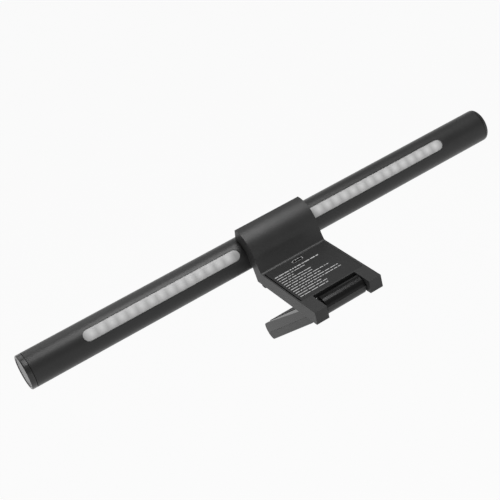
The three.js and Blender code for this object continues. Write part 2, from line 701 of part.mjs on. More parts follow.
// A coil with one arm along X into the bracket's ear and one arm outwards into the barrel.
class TorsionSpring extends THREE.Curve {
  getPoint(t, target = new THREE.Vector3()) {
    const { start, end, radius, turns } = SPRING;
    const armShare = 0.08;
    const turnShare = THREE.MathUtils.clamp((t - armShare) / (1 - 2 * armShare), 0, 1);
    const angle = (2 * Math.PI * turns - radians(LEG_ANGLE)) * turnShare;
    const firstArm = Math.max(0, 1 - t / armShare);
    const lastArm = Math.max(0, (t - 1) / armShare + 1);
    const x = start + (end - start) * turnShare - 5 * firstArm;
    const reach = radius + 2 * lastArm;
    return target.set(x, reach * Math.sin(angle), reach * Math.cos(angle));
  }
}

function hingeSpring() {
  const section = new THREE.Shape();
  section.absarc(0, 0, SPRING.wire, 0, 2 * Math.PI, false);
  const options = { steps: 84, extrudePath: new TorsionSpring(), curveSegments: 3, bevelEnabled: false };
  const coil = solidOf(new THREE.ExtrudeGeometry(section, options));
  return coil.translate([0, HINGE.y, HINGE.z]);
}

function hingePin() {
  return rodAlongX(PIN.radius, HINGE.y, HINGE.z, -PIN.halfLength, PIN.halfLength);
}

function bracket() {
  const group = new THREE.Group();
  const coverSeat = PLATE_BOTTOM_Z + 0.95;
  group.add(piece('bracket_shell', bracketShell(), darkAnodised()));
  group.add(piece('top_panel', topPanel(), darkAnodised()));
  group.add(piece('hook_liner', hookLiner(), darkPlastic()));
  group.add(piece('clamp_shoe', clampShoe(), steel()));
  group.add(piece('base_cover', baseCover(), darkPlastic()));
  group.add(piece('rest_pad', restPad(), silicone()));
  group.add(piece('front_lip', frontLip(), silicone()));
  group.add(piece('usb_socket', usbSocket(), steel()));
  group.add(piece('usb_board', usbBoard(), circuitBoard()));
  group.add(piece('power_harness', powerHarness(), wireSleeve()));
  group.add(piece('hinge_pin', hingePin(), steel()));
  group.add(piece('hinge_spring', hingeSpring(), steel()));
  [-NECK.screwX, NECK.screwX].forEach((x, i) => {
    group.add(piece(`clamp_screw_${i + 1}`, radialScrew(x, 9.5, 4.4), steel()));
  });
  LINER_SCREW_X.forEach((x, i) => {
    group.add(piece(`liner_screw_${i + 1}`, radialScrew(x, SHELL_SCREW_SEAT - 0.1, 4.6), steel()));
  });
  COVER_SCREWS.forEach(([x, y], i) => {
    const screw = screwSolid(SMALL_SCREW, 5).translate([x, y, coverSeat - 0.05]);
    group.add(piece(`base_screw_${i + 1}`, screw, steel()));
  });
  return group;
}

// ---------------------------------------------------------------- leg
// The leg is drawn lying along -Y from its hinge axis, its inner face up, and then turned.

const LEG_SCREWS_Y = [-57, -101];
const LEG_INNER_WALL = 2;
const LEG_CAVITY = { halfWidth: 14.5, startY: -9.5, endY: -111 };
const LEG_CAVITY_TOP = LEG_INNER_Z - LEG_INNER_WALL;
const LEG_CAVITY_BOTTOM = LEG_OUTER_Z + 1.8;

function legOutline() {
  const { y, z, radius } = NOSE;
  const noseStart = Math.asin((LEG_INNER_Z - z) / radius);
  const noseEnd = Math.asin((LEG_OUTER_Z - z) / radius);
  const barrelEnd = Math.PI - Math.asin(LEG_INNER_Z / BARREL_RADIUS);
  const shape = new THREE.Shape();
  shape.absarc(0, 0, BARREL_RADIUS, radians(-93), barrelEnd, false);
  shape.lineTo(y - radius * Math.cos(noseStart), LEG_INNER_Z);
  shape.absarc(y, z, radius, Math.PI - noseStart, Math.PI - noseEnd, false);
  shape.lineTo(LEG_TAPER_Y, LEG_OUTER_Z);
  return shape;
}

function legHalf(z0, z1) {
  const whole = alongX(legOutline(), -LEG_HALF_WIDTH, LEG_HALF_WIDTH, 14);
  return whole.intersect(box(-20, 20, -130, 20, z0, z1));
}

function springPocket() {
  return rodAlongX(SPRING.pocket, 0, 0, -LEG_HALF_WIDTH - 1, SPRING.end + 1.2);
}

function legCavity(z0, z1) {
  const { halfWidth, startY, endY } = LEG_CAVITY;
  return box(-halfWidth, halfWidth, endY, startY, z0, z1);
}

function legPadOutline(grow) {
  const half = LEG_PAD.halfWidth + grow;
  return roundedRectangle(-half, half, LEG_PAD.endY - grow, LEG_PAD.startY + grow, 2);
}

function legInnerShell() {
  const seat = LEG_INNER_Z - LEG_PAD.sunk;
  const body = legHalf(LEG_PARTING_Z + GAP / 2, 20);
  const collars = LEG_SCREWS_Y.map((y) => rod(2.8, 0, y, 0.6, LEG_CAVITY_TOP + 0.5));
  const hollowed = body.subtract(legCavity(-20, LEG_CAVITY_TOP));
  return cut(joined([hollowed, ...collars]), [
    rodAlongX(PIN.bore, 0, 0, -20, 20),
    springPocket(),
    box(-5.4, -3.4, -0.8, 0.8, 3, 5.6),
    upward(legPadOutline(GAP), seat, 20),
    ...LEG_SCREWS_Y.map((y) => rod(1.1, 0, y, 0, 10, 12)),
    ...LEG_SCREWS_Y.map((y) => rod(1.9, 0, y, seat - 1.1, 10)),
  ]);
}

function legOuterShell() {
  const body = legHalf(-20, LEG_PARTING_Z - GAP / 2);
  const posts = LEG_SCREWS_Y.map((y) => rod(2.6, 0, y, LEG_CAVITY_BOTTOM - 0.5, 0.3));
  return cut(joined([body.subtract(legCavity(LEG_CAVITY_BOTTOM, 20)), ...posts]), [
    springPocket(),
    ...LEG_SCREWS_Y.map((y) => rod(1.05, 0, y, -5, 10, 12)),
  ]);
}

function legPad() {
  const bottom = LEG_INNER_Z - LEG_PAD.sunk + GAP;
  return upward(legPadOutline(0), bottom, LEG_INNER_Z + LEG_PAD.proud);
}

function counterweight() {
  const outline = roundedRectangle(-13.5, 13.5, -95, -63, 1);
  return upward(outline, LEG_CAVITY_BOTTOM + GAP, LEG_CAVITY_TOP - GAP);
}

// The screw's head lies in the inner shell's floor, under the pad.
function legScrew(y) {
  const seat = LEG_INNER_Z - LEG_PAD.sunk - 1;
  return screwSolid(SMALL_SCREW, 6.4).rotate([180, 0, 0]).translate([0, y, seat]);
}

function leg() {
  const group = new THREE.Group();
  group.add(piece('leg_inner_shell', legInnerShell(), darkPlastic()));
  group.add(piece('leg_outer_shell', legOuterShell(), darkAnodised()));
  group.add(piece('leg_pad', legPad(), silicone()));
  group.add(piece('counterweight', counterweight(), steel()));
  LEG_SCREWS_Y.forEach((y, i) => {
    group.add(piece(`leg_screw_${i + 1}`, legScrew(y), steel()));
  });
  group.position.set(0, HINGE.y, HINGE.z);
  group.rotation.x = radians(LEG_ANGLE);
  return group;
}

// ---------------------------------------------------------------- the whole object

const monitorLightBar = new THREE.Group();
monitorLightBar.add(bracket(), lightBar(), leg());
const restY = (REST_PAD.startY + REST_PAD.endY) / 2;
monitorLightBar.position.set(0, -restY, REST_PAD.proud - PLATE_BOTTOM_Z);

export default monitorLightBar;
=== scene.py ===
import json
import math
import random

import bmesh
import bpy
from mathutils import Matrix, Vector


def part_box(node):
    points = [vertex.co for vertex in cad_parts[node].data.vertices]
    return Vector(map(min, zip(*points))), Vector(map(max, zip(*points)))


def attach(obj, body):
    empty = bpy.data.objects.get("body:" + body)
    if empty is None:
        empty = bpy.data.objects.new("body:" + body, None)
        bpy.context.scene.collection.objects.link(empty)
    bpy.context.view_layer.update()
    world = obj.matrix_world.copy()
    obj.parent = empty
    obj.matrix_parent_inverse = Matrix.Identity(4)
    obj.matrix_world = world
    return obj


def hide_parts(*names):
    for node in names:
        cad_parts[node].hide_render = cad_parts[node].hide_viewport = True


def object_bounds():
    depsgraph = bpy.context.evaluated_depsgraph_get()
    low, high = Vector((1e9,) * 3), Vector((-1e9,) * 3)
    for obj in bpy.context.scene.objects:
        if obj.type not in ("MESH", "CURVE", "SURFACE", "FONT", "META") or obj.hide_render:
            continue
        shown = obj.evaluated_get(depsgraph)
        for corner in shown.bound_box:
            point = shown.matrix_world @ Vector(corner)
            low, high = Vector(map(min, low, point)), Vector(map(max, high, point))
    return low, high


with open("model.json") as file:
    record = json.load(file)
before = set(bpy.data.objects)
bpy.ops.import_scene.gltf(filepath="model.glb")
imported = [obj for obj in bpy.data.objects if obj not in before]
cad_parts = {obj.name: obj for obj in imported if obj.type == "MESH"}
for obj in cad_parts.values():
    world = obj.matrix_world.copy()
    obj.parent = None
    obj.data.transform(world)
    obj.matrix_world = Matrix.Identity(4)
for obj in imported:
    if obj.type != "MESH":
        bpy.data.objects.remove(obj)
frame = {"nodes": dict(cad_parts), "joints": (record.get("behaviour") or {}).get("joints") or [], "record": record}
cad_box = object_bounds()

# The looks of a clip-on monitor light bar. Lengths below are millimetres from the bar's axis,
# midway along the bracket; +X runs along the bar, +Y points behind the monitor, +Z is up.
# Angles about the bar are degrees from +Y towards +Z.

MM = 0.001
joints = {joint["name"]: joint for joint in frame["joints"]}
BAR_AXIS = Vector(joints["bar_tilt"]["pos_m"])
HINGE = Vector(joints["leg_hinge"]["pos_m"])
TO_BAR = Matrix.Translation(BAR_AXIS) @ Matrix.Scale(MM, 4)


def millimetres(node):
    """The CAD node's box in millimetres from the bar's axis."""
    low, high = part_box(node)
    return (low - BAR_AXIS) / MM, (high - BAR_AXIS) / MM


# ---------------------------------------------------------------- sizes read from the frame

tube_low, tube_high = millimetres("tube_housing")
BAR_RADIUS = (tube_high.z - tube_low.z) / 2
BAR_MIDDLE_X = (tube_low.x + tube_high.x) / 2
LEFT_END_X = millimetres("end_cap_left")[1].x
RIGHT_END_X = millimetres("end_cap_right")[0].x
shell_low, shell_high = millimetres("bracket_shell")
HALF_WIDTH = shell_high.x
PLATE_BOTTOM = shell_low.z
PLATE_END = shell_high.y
panel_low, panel_high = millimetres("top_panel")
pad_low, pad_high = millimetres("rest_pad")
lip_low, lip_high = millimetres("front_lip")
socket_low, socket_high = millimetres("usb_socket")
disc_low, disc_high = millimetres("touch_disc")
DISC_RADIUS = (disc_high.y - disc_low.y) / 2
DISC_FACE = LEFT_END_X - 0.45

# ---------------------------------------------------------------- sizes of the shapes

BORE_RADIUS = 11.3
BACK_LIGHT_ANGLE = 40.2
BACK_WINDOW = {"start": 29.7, "end": 153.0, "width": 8.6}
FRONT_LIGHT_ANGLE = -110.0
FRONT_WINDOW = {"half_length": 180.0, "width": 14.4, "corner": 2.5}
WINDOW_CUT = (6, 15)
LENS_RADIUS = 12.15
FRONT_LENS_RADIUS = 12.38
LENS_INSIDE = 10.4
LENS_BLANK = (9.5, 15)
LENS_GAP = 0.18
TUBE_SEGMENTS = 240
SLOT_FROM, SLOT_TO, SLOT_HALF_LENGTH = 11.2, 69.2, 12.5

PLATE_TOP = -4.7
HOOK_CENTRE = (3.5, 2.2)
HOOK_RADIUS = 19.6
HOOK_START, HOOK_END = 92.9, 12.0
HOOK_STEPS = 72
HOOK_CLEARANCE = 13.1
HOOK_MOUTH = (0.6, 15.5)
WEB_BEND = (23.9, 0.5)
WEB_FOOT = (25.9, -3.35)
PLATE_BEND = (26.6, PLATE_TOP)
PLATE_START = (28.1, PLATE_TOP)
SIDE_WALL = 2.0
PANEL_SIDE_GAP = 0.85
PANEL_END_GAP = 0.12
PANEL_SEAT_DEPTH = 1.3
NOTCH_HALF_WIDTH = 17.25
NOTCH_FRONT = 75.0
NOTCH_STEP = -7.9

LEG_ANGLE = 36.7
LEG_HALF_WIDTH = 16.5
BARREL_RADIUS = 6.46
LEG_INNER = 4.88
LEG_OUTER = -8.12
LEG_PARTING = -2.58
LEG_TAPER = -29.0
NOSE = (-107.9, -1.5)
NOSE_RADIUS = 9.3
NOSE_OUTER = -8.6
NOSE_EASE = 12
BARREL_END_X = 14.9
COLLAR_RADIUS = 4.4
CHAMFER_WIDTH = 2.9
CHAMFER_START = -5.0
CHAMFER_END = -108.0
CHAMFER_END_WIDTH = 0.02
LEG_SEAM = 0.035
PAD_PROUD = 0.35
PAD_DEPTH = 0.6
PAD_HALF_WIDTH = 13
PAD_START = -52
PAD_END = -112.2
TO_LEG = (Matrix.Translation(HINGE) @ Matrix.Rotation(math.radians(LEG_ANGLE), 4, "X")
          @ Matrix.Scale(MM, 4))

# ---------------------------------------------------------------- mesh tools


def arc(centre, radius, start, end, steps):
    """Points on an arc, angles in degrees."""
    points = []
    for i in range(steps + 1):
        turn = math.radians(start + (end - start) * i / steps)
        points.append((centre[0] + radius * math.cos(turn), centre[1] + radius * math.sin(turn)))
    return points


def curve(a, b, c, steps):
    """Points on a quadratic curve from a to c, pulled towards b."""
    points = []
    for i in range(steps + 1):
        t = i / steps
        p, q, r = (1 - t) ** 2, 2 * t * (1 - t), t * t
        points.append((p * a[0] + q * b[0] + r * c[0], p * a[1] + q * b[1] + r * c[1]))
    return points


def rounded_rectangle(x0, x1, y0, y1, radius, steps=10):
    """A rectangle's outline with round corners, drawn anticlockwise."""
    corners = [((x1 - radius, y0 + radius), -90), ((x1 - radius, y1 - radius), 0),
               ((x0 + radius, y1 - radius), 90), ((x0 + radius, y0 + radius), 180)]
    points = []
    for centre, start in corners:
        points += arc(centre, radius, start, start + 90, steps)
    return points


def to_object(name, bm, place):
    """Closes the mesh, faces it outwards, and moves it from millimetres into the frame."""
    bmesh.ops.remove_doubles(bm, verts=bm.verts, dist=1e-5)
    bmesh.ops.recalc_face_normals(bm, faces=bm.faces)
    bm.transform(place)
    mesh = bpy.data.meshes.new(name)
    bm.to_mesh(mesh)
    bm.free()
    obj = bpy.data.objects.new(name, mesh)
    bpy.context.scene.collection.objects.link(obj)
    return obj


def prism(name, outline, low, high, lay, place=TO_BAR):
    """A closed outline of (a, b) points swept from low to high; lay(a, b, c) gives its point."""
    bm = bmesh.new()
    bottom = [bm.verts.new(lay(a, b, low)) for a, b in outline]
    top = [bm.verts.new(lay(a, b, high)) for a, b in outline]
    bm.faces.new(bottom)
    bm.faces.new(top)
    count = len(outline)
    for i in range(count):
        j = (i + 1) % count
        bm.faces.new((bottom[i], bottom[j], top[j], top[i]))
    return to_object(name, bm, place)


def along_x(name, outline, x0, x1, place=TO_BAR):
    return prism(name, outline, x0, x1, lambda a, b, c: (c, a, b), place)


def upward(name, outline, z0, z1, place=TO_BAR):
    return prism(name, outline, z0, z1, lambda a, b, c: (a, b, c), place)


def outward(name, outline, low, high, degrees):
    """An outline laid across the bar and swept out of its axis at an angle."""
    c, s = math.cos(math.radians(degrees)), math.sin(math.radians(degrees))
    return prism(name, outline, low, high, lambda x, t, r: (x, r * c + t * s, r * s - t * c))


def turned(name, profile, segments=192, place=TO_BAR):
    """A closed profile of (radius, x) points turned about the X axis."""
    bm = bmesh.new()
    turns = [2 * math.pi * k / segments for k in range(segments)]
    rings = []
    for radius, x in profile:
        if radius < 1e-6:
            rings.append([bm.verts.new((x, 0, 0))])
            continue
        ring = [(x, radius * math.cos(turn), radius * math.sin(turn)) for turn in turns]
        rings.append([bm.verts.new(point) for point in ring])
    for a, b in zip(rings, rings[1:] + rings[:1]):
        for k in range(segments):
            m = (k + 1) % segments
            corners = [a[k % len(a)], a[m % len(a)], b[m % len(b)], b[k % len(b)]]
            unique = list(dict.fromkeys(corners))
            if len(unique) > 2:
                bm.faces.new(unique)
    return to_object(name, bm, place)


def apply_modifiers(obj):
    """Replaces the object's mesh by what its modifiers make of it."""
    graph = bpy.context.evaluated_depsgraph_get()
    mesh = bpy.data.meshes.new_from_object(obj.evaluated_get(graph))
    obj.modifiers.clear()
    old = obj.data
    obj.data = mesh
    mesh.name = obj.name
    bpy.data.meshes.remove(old)


def combine(obj, others, operation):
    """A boolean with each of the others, which are then removed."""
    for other in others:
        modifier = obj.modifiers.new("combine", "BOOLEAN")
        modifier.object = other
        modifier.operation = operation
        modifier.solver = "EXACT"
    apply_modifiers(obj)
    for other in others:
        bpy.data.meshes.remove(other.data)
    return obj


def cut(obj, *cutters):
    return combine(obj, cutters, "DIFFERENCE")


def join(obj, *others):
    return combine(obj, others, "UNION")


def soften(obj, width=0.3, segments=3, angle=28, merge=0.6):
    """Rounds the sharp edges and smooths the rest."""
    bm = bmesh.new()
    bm.from_mesh(obj.data)
    bmesh.ops.dissolve_limit(bm, angle_limit=math.radians(merge), verts=bm.verts, edges=bm.edges)
    bmesh.ops.remove_doubles(bm, verts=bm.verts, dist=1e-6)
    bm.to_mesh(obj.data)
    bm.free()
    bevel = obj.modifiers.new("round", "BEVEL")
    bevel.width = width * MM
    bevel.segments = segments
    bevel.limit_method = "ANGLE"
    bevel.angle_limit = math.radians(angle)
    bevel.use_clamp_overlap = True
    bevel.miter_outer = "MITER_ARC"
    apply_modifiers(obj)
    return smooth(obj)


def smooth(obj, angle=32):
    obj.data.shade_smooth()
    obj.data.set_sharp_from_angle(angle=math.radians(angle))
    weights = obj.modifiers.new("normals", "WEIGHTED_NORMAL")
    weights.keep_sharp = True
    weights.weight = 60
    return obj


def joined_mesh(name, objects):
    """Several objects become one, each keeping its own closed surface."""
    bm = bmesh.new()
    for obj in objects:
        bm.from_mesh(obj.data)
    mesh = bpy.data.meshes.new(name)
    bm.to_mesh(mesh)
    bm.free()
    for obj in objects:
        bpy.data.meshes.remove(obj.data)
    whole = bpy.data.objects.new(name, mesh)
    bpy.context.scene.collection.objects.link(whole)
    return whole


# ---------------------------------------------------------------- material tools


class Nodes:
    """A short way to write a material's nodes."""

    def __init__(self, name):
        self.material = bpy.data.materials.new(name)
        self.material.use_nodes = True
        self.tree = self.material.node_tree
        self.shader = self.tree.nodes["Principled BSDF"]
        self.place = self.add("ShaderNodeTexCoord").outputs["Object"]

    def add(self, kind, **values):
        node = self.tree.nodes.new(kind)
        for key, value in values.items():
            setattr(node, key, value)
        return node

    def link(self, output, socket):
        if isinstance(output, (int, float)):
            socket.default_value = output
        else:
            self.tree.links.new(output, socket)

    def math(self, operation, a, b=0.0):
        node = self.add("ShaderNodeMath", operation=operation)
        self.link(a, node.inputs[0])
        self.link(b, node.inputs[1])
        return node.outputs[0]

    def noise(self, size, detail=2.0, roughness=0.5, stretch=(1, 1, 1)):
        """Noise whose features are about size millimetres across."""
        mapping = self.add("ShaderNodeMapping")
        mapping.inputs["Scale"].default_value = stretch
        self.tree.links.new(self.place, mapping.inputs["Vector"])
        node = self.add("ShaderNodeTexNoise")
        node.inputs["Scale"].default_value = 1 / (size * MM)
        node.inputs["Detail"].default_value = detail
        node.inputs["Roughness"].default_value = roughness
        self.tree.links.new(mapping.outputs[0], node.inputs["Vector"])
        return node.outputs["Fac"]

    def between(self, value, low, high, out_low, out_high):
        """Maps the value's range from low to high onto a new range, and stays inside it."""
        node = self.add("ShaderNodeMapRange")
        self.link(value, node.inputs["Value"])
        for key, number in zip(("From Min", "From Max", "To Min", "To Max"),
                               (low, high, out_low, out_high)):
            node.inputs[key].default_value = number
        return node.outputs["Result"]

    def mix(self, factor, a, b):
        node = self.add("ShaderNodeMix", data_type="RGBA")
        self.link(factor, node.inputs["Factor"])
        for socket, color in ((node.inputs[6], a), (node.inputs[7], b)):
            if isinstance(color, tuple):
                socket.default_value = (*color, 1)
            else:
                self.tree.links.new(color, socket)
        return node.outputs[2]

    def bump(self, height, strength, distance):
        node = self.add("ShaderNodeBump")
        node.inputs["Strength"].default_value = strength
        node.inputs["Distance"].default_value = distance * MM
        self.link(height, node.inputs["Height"])
        self.tree.links.new(node.outputs["Normal"], self.shader.inputs["Normal"])

    def set(self, **values):
        for key, value in values.items():
            self.shader.inputs[key.replace("_", " ")].default_value = value

    def color(self, output):
        self.tree.links.new(output, self.shader.inputs["Base Color"])

    def rough(self, output):
        self.tree.links.new(output, self.shader.inputs["Roughness"])


def grey(level, warm=0.0):
    """A linear grey, a little warmer where warm is above zero."""
    return (level * (1 + warm), level, level * (1 - warm))


def satin_paint(name, level, roughness, grain=0.12, bump=0.12, specular=0.5):
    """Fine-grained satin finish: a slow tone change, a fine speckle and a soft orange-peel."""
    n = Nodes(name)
    slow = n.between(n.noise(28, 2), 0.35, 0.65, 0.0, 1.0)
    fine = n.between(n.noise(grain, 3, 0.6), 0.3, 0.7, 0.0, 1.0)
    tone = n.mix(slow, grey(level * 0.93), grey(level * 1.07))
    n.color(n.mix(n.math("MULTIPLY", fine, 0.35), tone, grey(level * 1.35)))
    n.rough(n.between(n.noise(9, 3), 0.3, 0.7, roughness * 0.96, roughness * 1.05))
    n.set(Specular_IOR_Level=specular)
    n.bump(n.noise(grain, 3, 0.6), bump, 0.02)
    return n.material


def moulded(name, level, roughness, grain=0.22, bump=0.25, specular=0.5):
    """Moulded plastic with a fine spark-eroded texture."""
    n = Nodes(name)
    fine = n.noise(grain, 4, 0.65)
    slow = n.noise(18, 2)
    n.color(n.mix(slow, grey(level * 0.9), grey(level * 1.12)))
    n.rough(n.between(fine, 0.3, 0.7, roughness - 0.05, roughness + 0.05))
    n.set(Specular_IOR_Level=specular)
    n.bump(fine, bump, 0.03)
    return n.material


def silicone(name):
    """Dull soft rubber."""
    n = Nodes(name)
    fine = n.noise(0.3, 3, 0.6)
    n.color(n.mix(n.noise(6, 3), grey(0.012), grey(0.02)))
    n.rough(n.between(fine, 0.3, 0.7, 0.62, 0.78))
    n.set(Specular_IOR_Level=0.35)
    n.bump(fine, 0.2, 0.03)
    return n.material


def brushed(name, level, roughness, stretch=(0.05, 1, 1)):
    """Metal with fine lines, drawn out along the axis that stretch makes small."""
    n = Nodes(name)
    lines = n.noise(0.12, 3, 0.6, stretch)
    n.color(n.mix(lines, grey(level * 0.85), grey(level * 1.1)))
    n.rough(n.between(lines, 0.3, 0.7, roughness - 0.08, roughness + 0.08))
    n.set(Metallic=1.0)
    n.bump(lines, 0.08, 0.01)
    return n.material


def cast_block(name):
    """Rough cast iron."""
    n = Nodes(name)
    lumps = n.noise(0.9, 5, 0.6)
    n.color(n.mix(lumps, grey(0.09), grey(0.2)))
    n.rough(n.between(lumps, 0.3, 0.7, 0.5, 0.75))
    n.set(Metallic=0.8)
    n.bump(lumps, 0.5, 0.15)
    return n.material


TRACK_PITCH = 2.4


def solder_mask(name):
    """A white circuit board with its tracks showing faintly."""
    n = Nodes(name)
    tracks = n.add("ShaderNodeTexVoronoi", feature="DISTANCE_TO_EDGE")
    tracks.inputs["Scale"].default_value = 1 / (TRACK_PITCH * MM)
    n.tree.links.new(n.place, tracks.inputs["Vector"])
    line = n.between(tracks.outputs["Distance"], 0.03, 0.07, 1.0, 0.0)
    n.color(n.mix(line, grey(0.72, 0.02), grey(0.58, 0.03)))
    n.set(Roughness=0.42)
    n.bump(line, 0.3, 0.03)
    return n.material


def sleeve(name):
    """Woven sleeve round the wires."""
    n = Nodes(name)
    weave = n.noise(0.35, 2, 0.5)
    n.color(n.mix(weave, grey(0.012), grey(0.03)))
    n.set(Roughness=0.6)
    n.bump(weave, 0.4, 0.05)
    return n.material


LED_PITCH = 7.7
LED_COUNT = 15
LED_CORE = 0.5
LED_GLOW = LED_PITCH * 0.55
ROW_FADE = 1.5
BACK_LED_MIDDLE = 92.8
WINDOW_UP = math.cos(math.radians(BACK_LIGHT_ANGLE))
WINDOW_OUT = math.sin(math.radians(BACK_LIGHT_ANGLE))


def milky_back_lens(name, middle):
    """White diffuser with the glow of a row of LEDs, centred on x = middle, painted into its colour: a brighter
    spot over each LED and a lifted tone along the row, plain past its ends.
    """
    n = Nodes(name)
    split = n.add("ShaderNodeSeparateXYZ")
    n.tree.links.new(n.place, split.inputs[0])
    x = n.math("DIVIDE", n.math("SUBTRACT", split.outputs["X"], BAR_AXIS.x), MM)
    along = n.math("SUBTRACT", x, middle)
    up = n.math("MULTIPLY", split.outputs["Z"], WINDOW_UP / MM)
    out = n.math("MULTIPLY", split.outputs["Y"], WINDOW_OUT / MM)
    axis = (BAR_AXIS.z * WINDOW_UP - BAR_AXIS.y * WINDOW_OUT) / MM
    across = n.math("SUBTRACT", n.math("SUBTRACT", up, out), axis)

    half_pitch = LED_PITCH / 2
    cell = n.math("FLOORED_MODULO", n.math("ADD", along, half_pitch), LED_PITCH)
    cell = n.math("SUBTRACT", cell, half_pitch)
    squares = n.math("ADD", n.math("MULTIPLY", cell, cell), n.math("MULTIPLY", across, across))
    # Painted glow: a bright spot over each LED, fading with the distance from its centre, ending a little past the
    # row's last LEDs.
    glow_spot = n.between(n.math("SQRT", squares), LED_CORE, LED_GLOW, 1.0, 0.0)
    half_row = LED_PITCH * LED_COUNT / 2
    row = n.between(n.math("ABSOLUTE", along), half_row, half_row + ROW_FADE, 1.0, 0.0)

    # The plain tone is the diffuser without glow; inside the row its colour is lifted towards the painted LED
    # glow.
    plain = n.mix(n.noise(2.2, 2), grey(0.30, 0.002), grey(0.34, 0.002))
    painted_glow = n.mix(n.math("MULTIPLY", glow_spot, row), grey(0.39, 0.002), grey(0.60, 0.002))
    n.color(n.mix(row, plain, painted_glow))
    n.set(Roughness=0.42, Specular_IOR_Level=0.4)
    n.bump(n.noise(0.3, 3), 0.08, 0.02)
    return n.material


def milky_lens(name, level=0.7):
    """White diffuser with nothing showing behind it."""
    n = Nodes(name)
    cloud = n.noise(4.0, 3)
    n.color(n.mix(cloud, grey(level * 0.97, 0.01), grey(level * 1.03, 0.008)))
    n.rough(n.between(n.noise(0.4, 3), 0.3, 0.7, 0.36, 0.46))
    n.set(Specular_IOR_Level=0.45)
    n.bump(n.noise(0.4, 3), 0.06, 0.02)
    return n.material


def printed(name):
    """Thin pale ink, uneven in its tone."""
    n = Nodes(name)
    n.color(n.mix(n.noise(0.5, 3), grey(0.3), grey(0.54)))
    n.set(Roughness=0.55)
    return n.material


def gold(name):
    """Plated contacts."""
    n = Nodes(name)
    lines = n.noise(0.2, 2)
    n.color(n.mix(lines, (0.55, 0.36, 0.12), (0.8, 0.58, 0.25)))
    n.set(Metallic=1.0, Roughness=0.3)
    return n.material


FLOOR_GLOW = 0.945


def floor_paint(name):
    """A pale, evenly lit table."""
    n = Nodes(name)
    n.color(n.mix(n.noise(300, 2), grey(0.03), grey(0.04)))
    n.set(Roughness=0.9, Specular_IOR_Level=0.0, Emission_Color=(1, 1, 1, 1),
          Emission_Strength=FLOOR_GLOW)
    return n.material


MATERIALS = {
    "dark_anodised": satin_paint("dark_anodised", 0.029, 0.39, specular=0.25),
    "panel_paint": satin_paint("panel_paint", 0.021, 0.44, specular=0.2),
    "dark_plastic": moulded("dark_plastic", 0.02, 0.5),
    "cap_plastic": satin_paint("cap_plastic", 0.018, 0.26, bump=0.05, specular=0.45),
    "leg_plastic": satin_paint("leg_plastic", 0.008, 0.2, grain=0.6, bump=0.0, specular=0.17),
    "leg_cover_paint": satin_paint("leg_cover_paint", 0.05, 0.42, specular=0.13),
    "grey_plastic": moulded("grey_plastic", 0.2, 0.42, bump=0.08),
    "milky_lens": milky_lens("milky_lens"),
    "silicone": silicone("silicone"),
    "circuit_board": solder_mask("circuit_board"),
    "wire_sleeve": sleeve("wire_sleeve"),
    "steel": brushed("steel", 0.4, 0.3),
    "socket_steel": brushed("socket_steel", 0.75, 0.42, (1, 1, 0.05)),
    "spring_steel": brushed("spring_steel", 0.35, 0.32),
    "cast_iron": cast_block("cast_iron"),
    "bare_aluminium": brushed("bare_aluminium", 0.6, 0.35),
}


def finish_piece(obj, body, slot, replaced=(), material=None):
    """Gives the piece its material and body, and hides the CAD nodes it stands for."""
    obj.data.materials.clear()
    obj.data.materials.append(material or MATERIALS[slot])
    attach(obj, body)
    for node in replaced:
        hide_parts(node)
    return obj


# ---------------------------------------------------------------- light bar


def stadium(x0, x1, width, steps=14):
    """An outline with straight sides and round ends, about y = 0."""
    return rounded_rectangle(x0, x1, -width / 2, width / 2, width / 2 - 0.001, steps)


def back_window(side, grow):
    """Outline of a rear window. Its side is 1 or -1, and it is larger all round by grow."""
    ends = sorted(BAR_MIDDLE_X + side * BACK_WINDOW[key] for key in ("start", "end"))
    return stadium(ends[0] - grow, ends[1] + grow, BACK_WINDOW["width"] + 2 * grow)


def front_window(grow):
    reach = FRONT_WINDOW["half_length"] + grow
    half = FRONT_WINDOW["width"] / 2 + grow
    corner = FRONT_WINDOW["corner"]
    return rounded_rectangle(BAR_MIDDLE_X - reach, BAR_MIDDLE_X + reach, -half, half, corner)


def sector(inner, outer, start, end, steps=40):
    """Outline of a piece of a ring about the origin."""
    return arc((0, 0), outer, start, end, steps) + arc((0, 0), inner, end, start, steps)


def make_tube():
    profile = [(BORE_RADIUS, tube_low.x), (BAR_RADIUS, tube_low.x),
               (BAR_RADIUS, tube_high.x), (BORE_RADIUS, tube_high.x)]
    tube = turned("tube", profile, TUBE_SEGMENTS)
    slot = sector(BORE_RADIUS - 2, BAR_RADIUS + 2, SLOT_FROM, SLOT_TO)
    cut(tube,
        outward("window", back_window(1, 0), *WINDOW_CUT, BACK_LIGHT_ANGLE),
        outward("window", back_window(-1, 0), *WINDOW_CUT, BACK_LIGHT_ANGLE),
        outward("window", front_window(0), *WINDOW_CUT, FRONT_LIGHT_ANGLE),
        along_x("slot", slot, -SLOT_HALF_LENGTH, SLOT_HALF_LENGTH))
    soften(tube, 0.14, 2, 30, 0.2)
    finish = satin_paint("tube_anodised", 0.023, 0.38, specular=0.26)
    return finish_piece(tube, "light_bar", "dark_anodised", ["tube_housing"], finish)


def make_lens(name, outline, face, degrees):
    """The face of a diffuser, curved like the bar and rounded at its edge."""
    lens = outward(name, outline, *LENS_BLANK, degrees)
    profile = [(LENS_INSIDE, tube_low.x), (face, tube_low.x),
               (face, tube_high.x), (LENS_INSIDE, tube_high.x)]
    combine(lens, [turned("limit", profile, TUBE_SEGMENTS)], "INTERSECT")
    return soften(lens, 0.22, 3, 30, 0.2)


def make_back_lens(name, side):
    lens = make_lens(name, back_window(side, -LENS_GAP), LENS_RADIUS, BACK_LIGHT_ANGLE)
    material = milky_back_lens(name + "_milk", BAR_MIDDLE_X + side * BACK_LED_MIDDLE)
    return finish_piece(lens, "light_bar", "milky_lens", [name], material)


def make_front_lens():
    lens = make_lens("front_diffuser_face", front_window(-LENS_GAP), FRONT_LENS_RADIUS,
                     FRONT_LIGHT_ANGLE)
    return finish_piece(lens, "light_bar", "milky_lens", ["front_diffuser"])


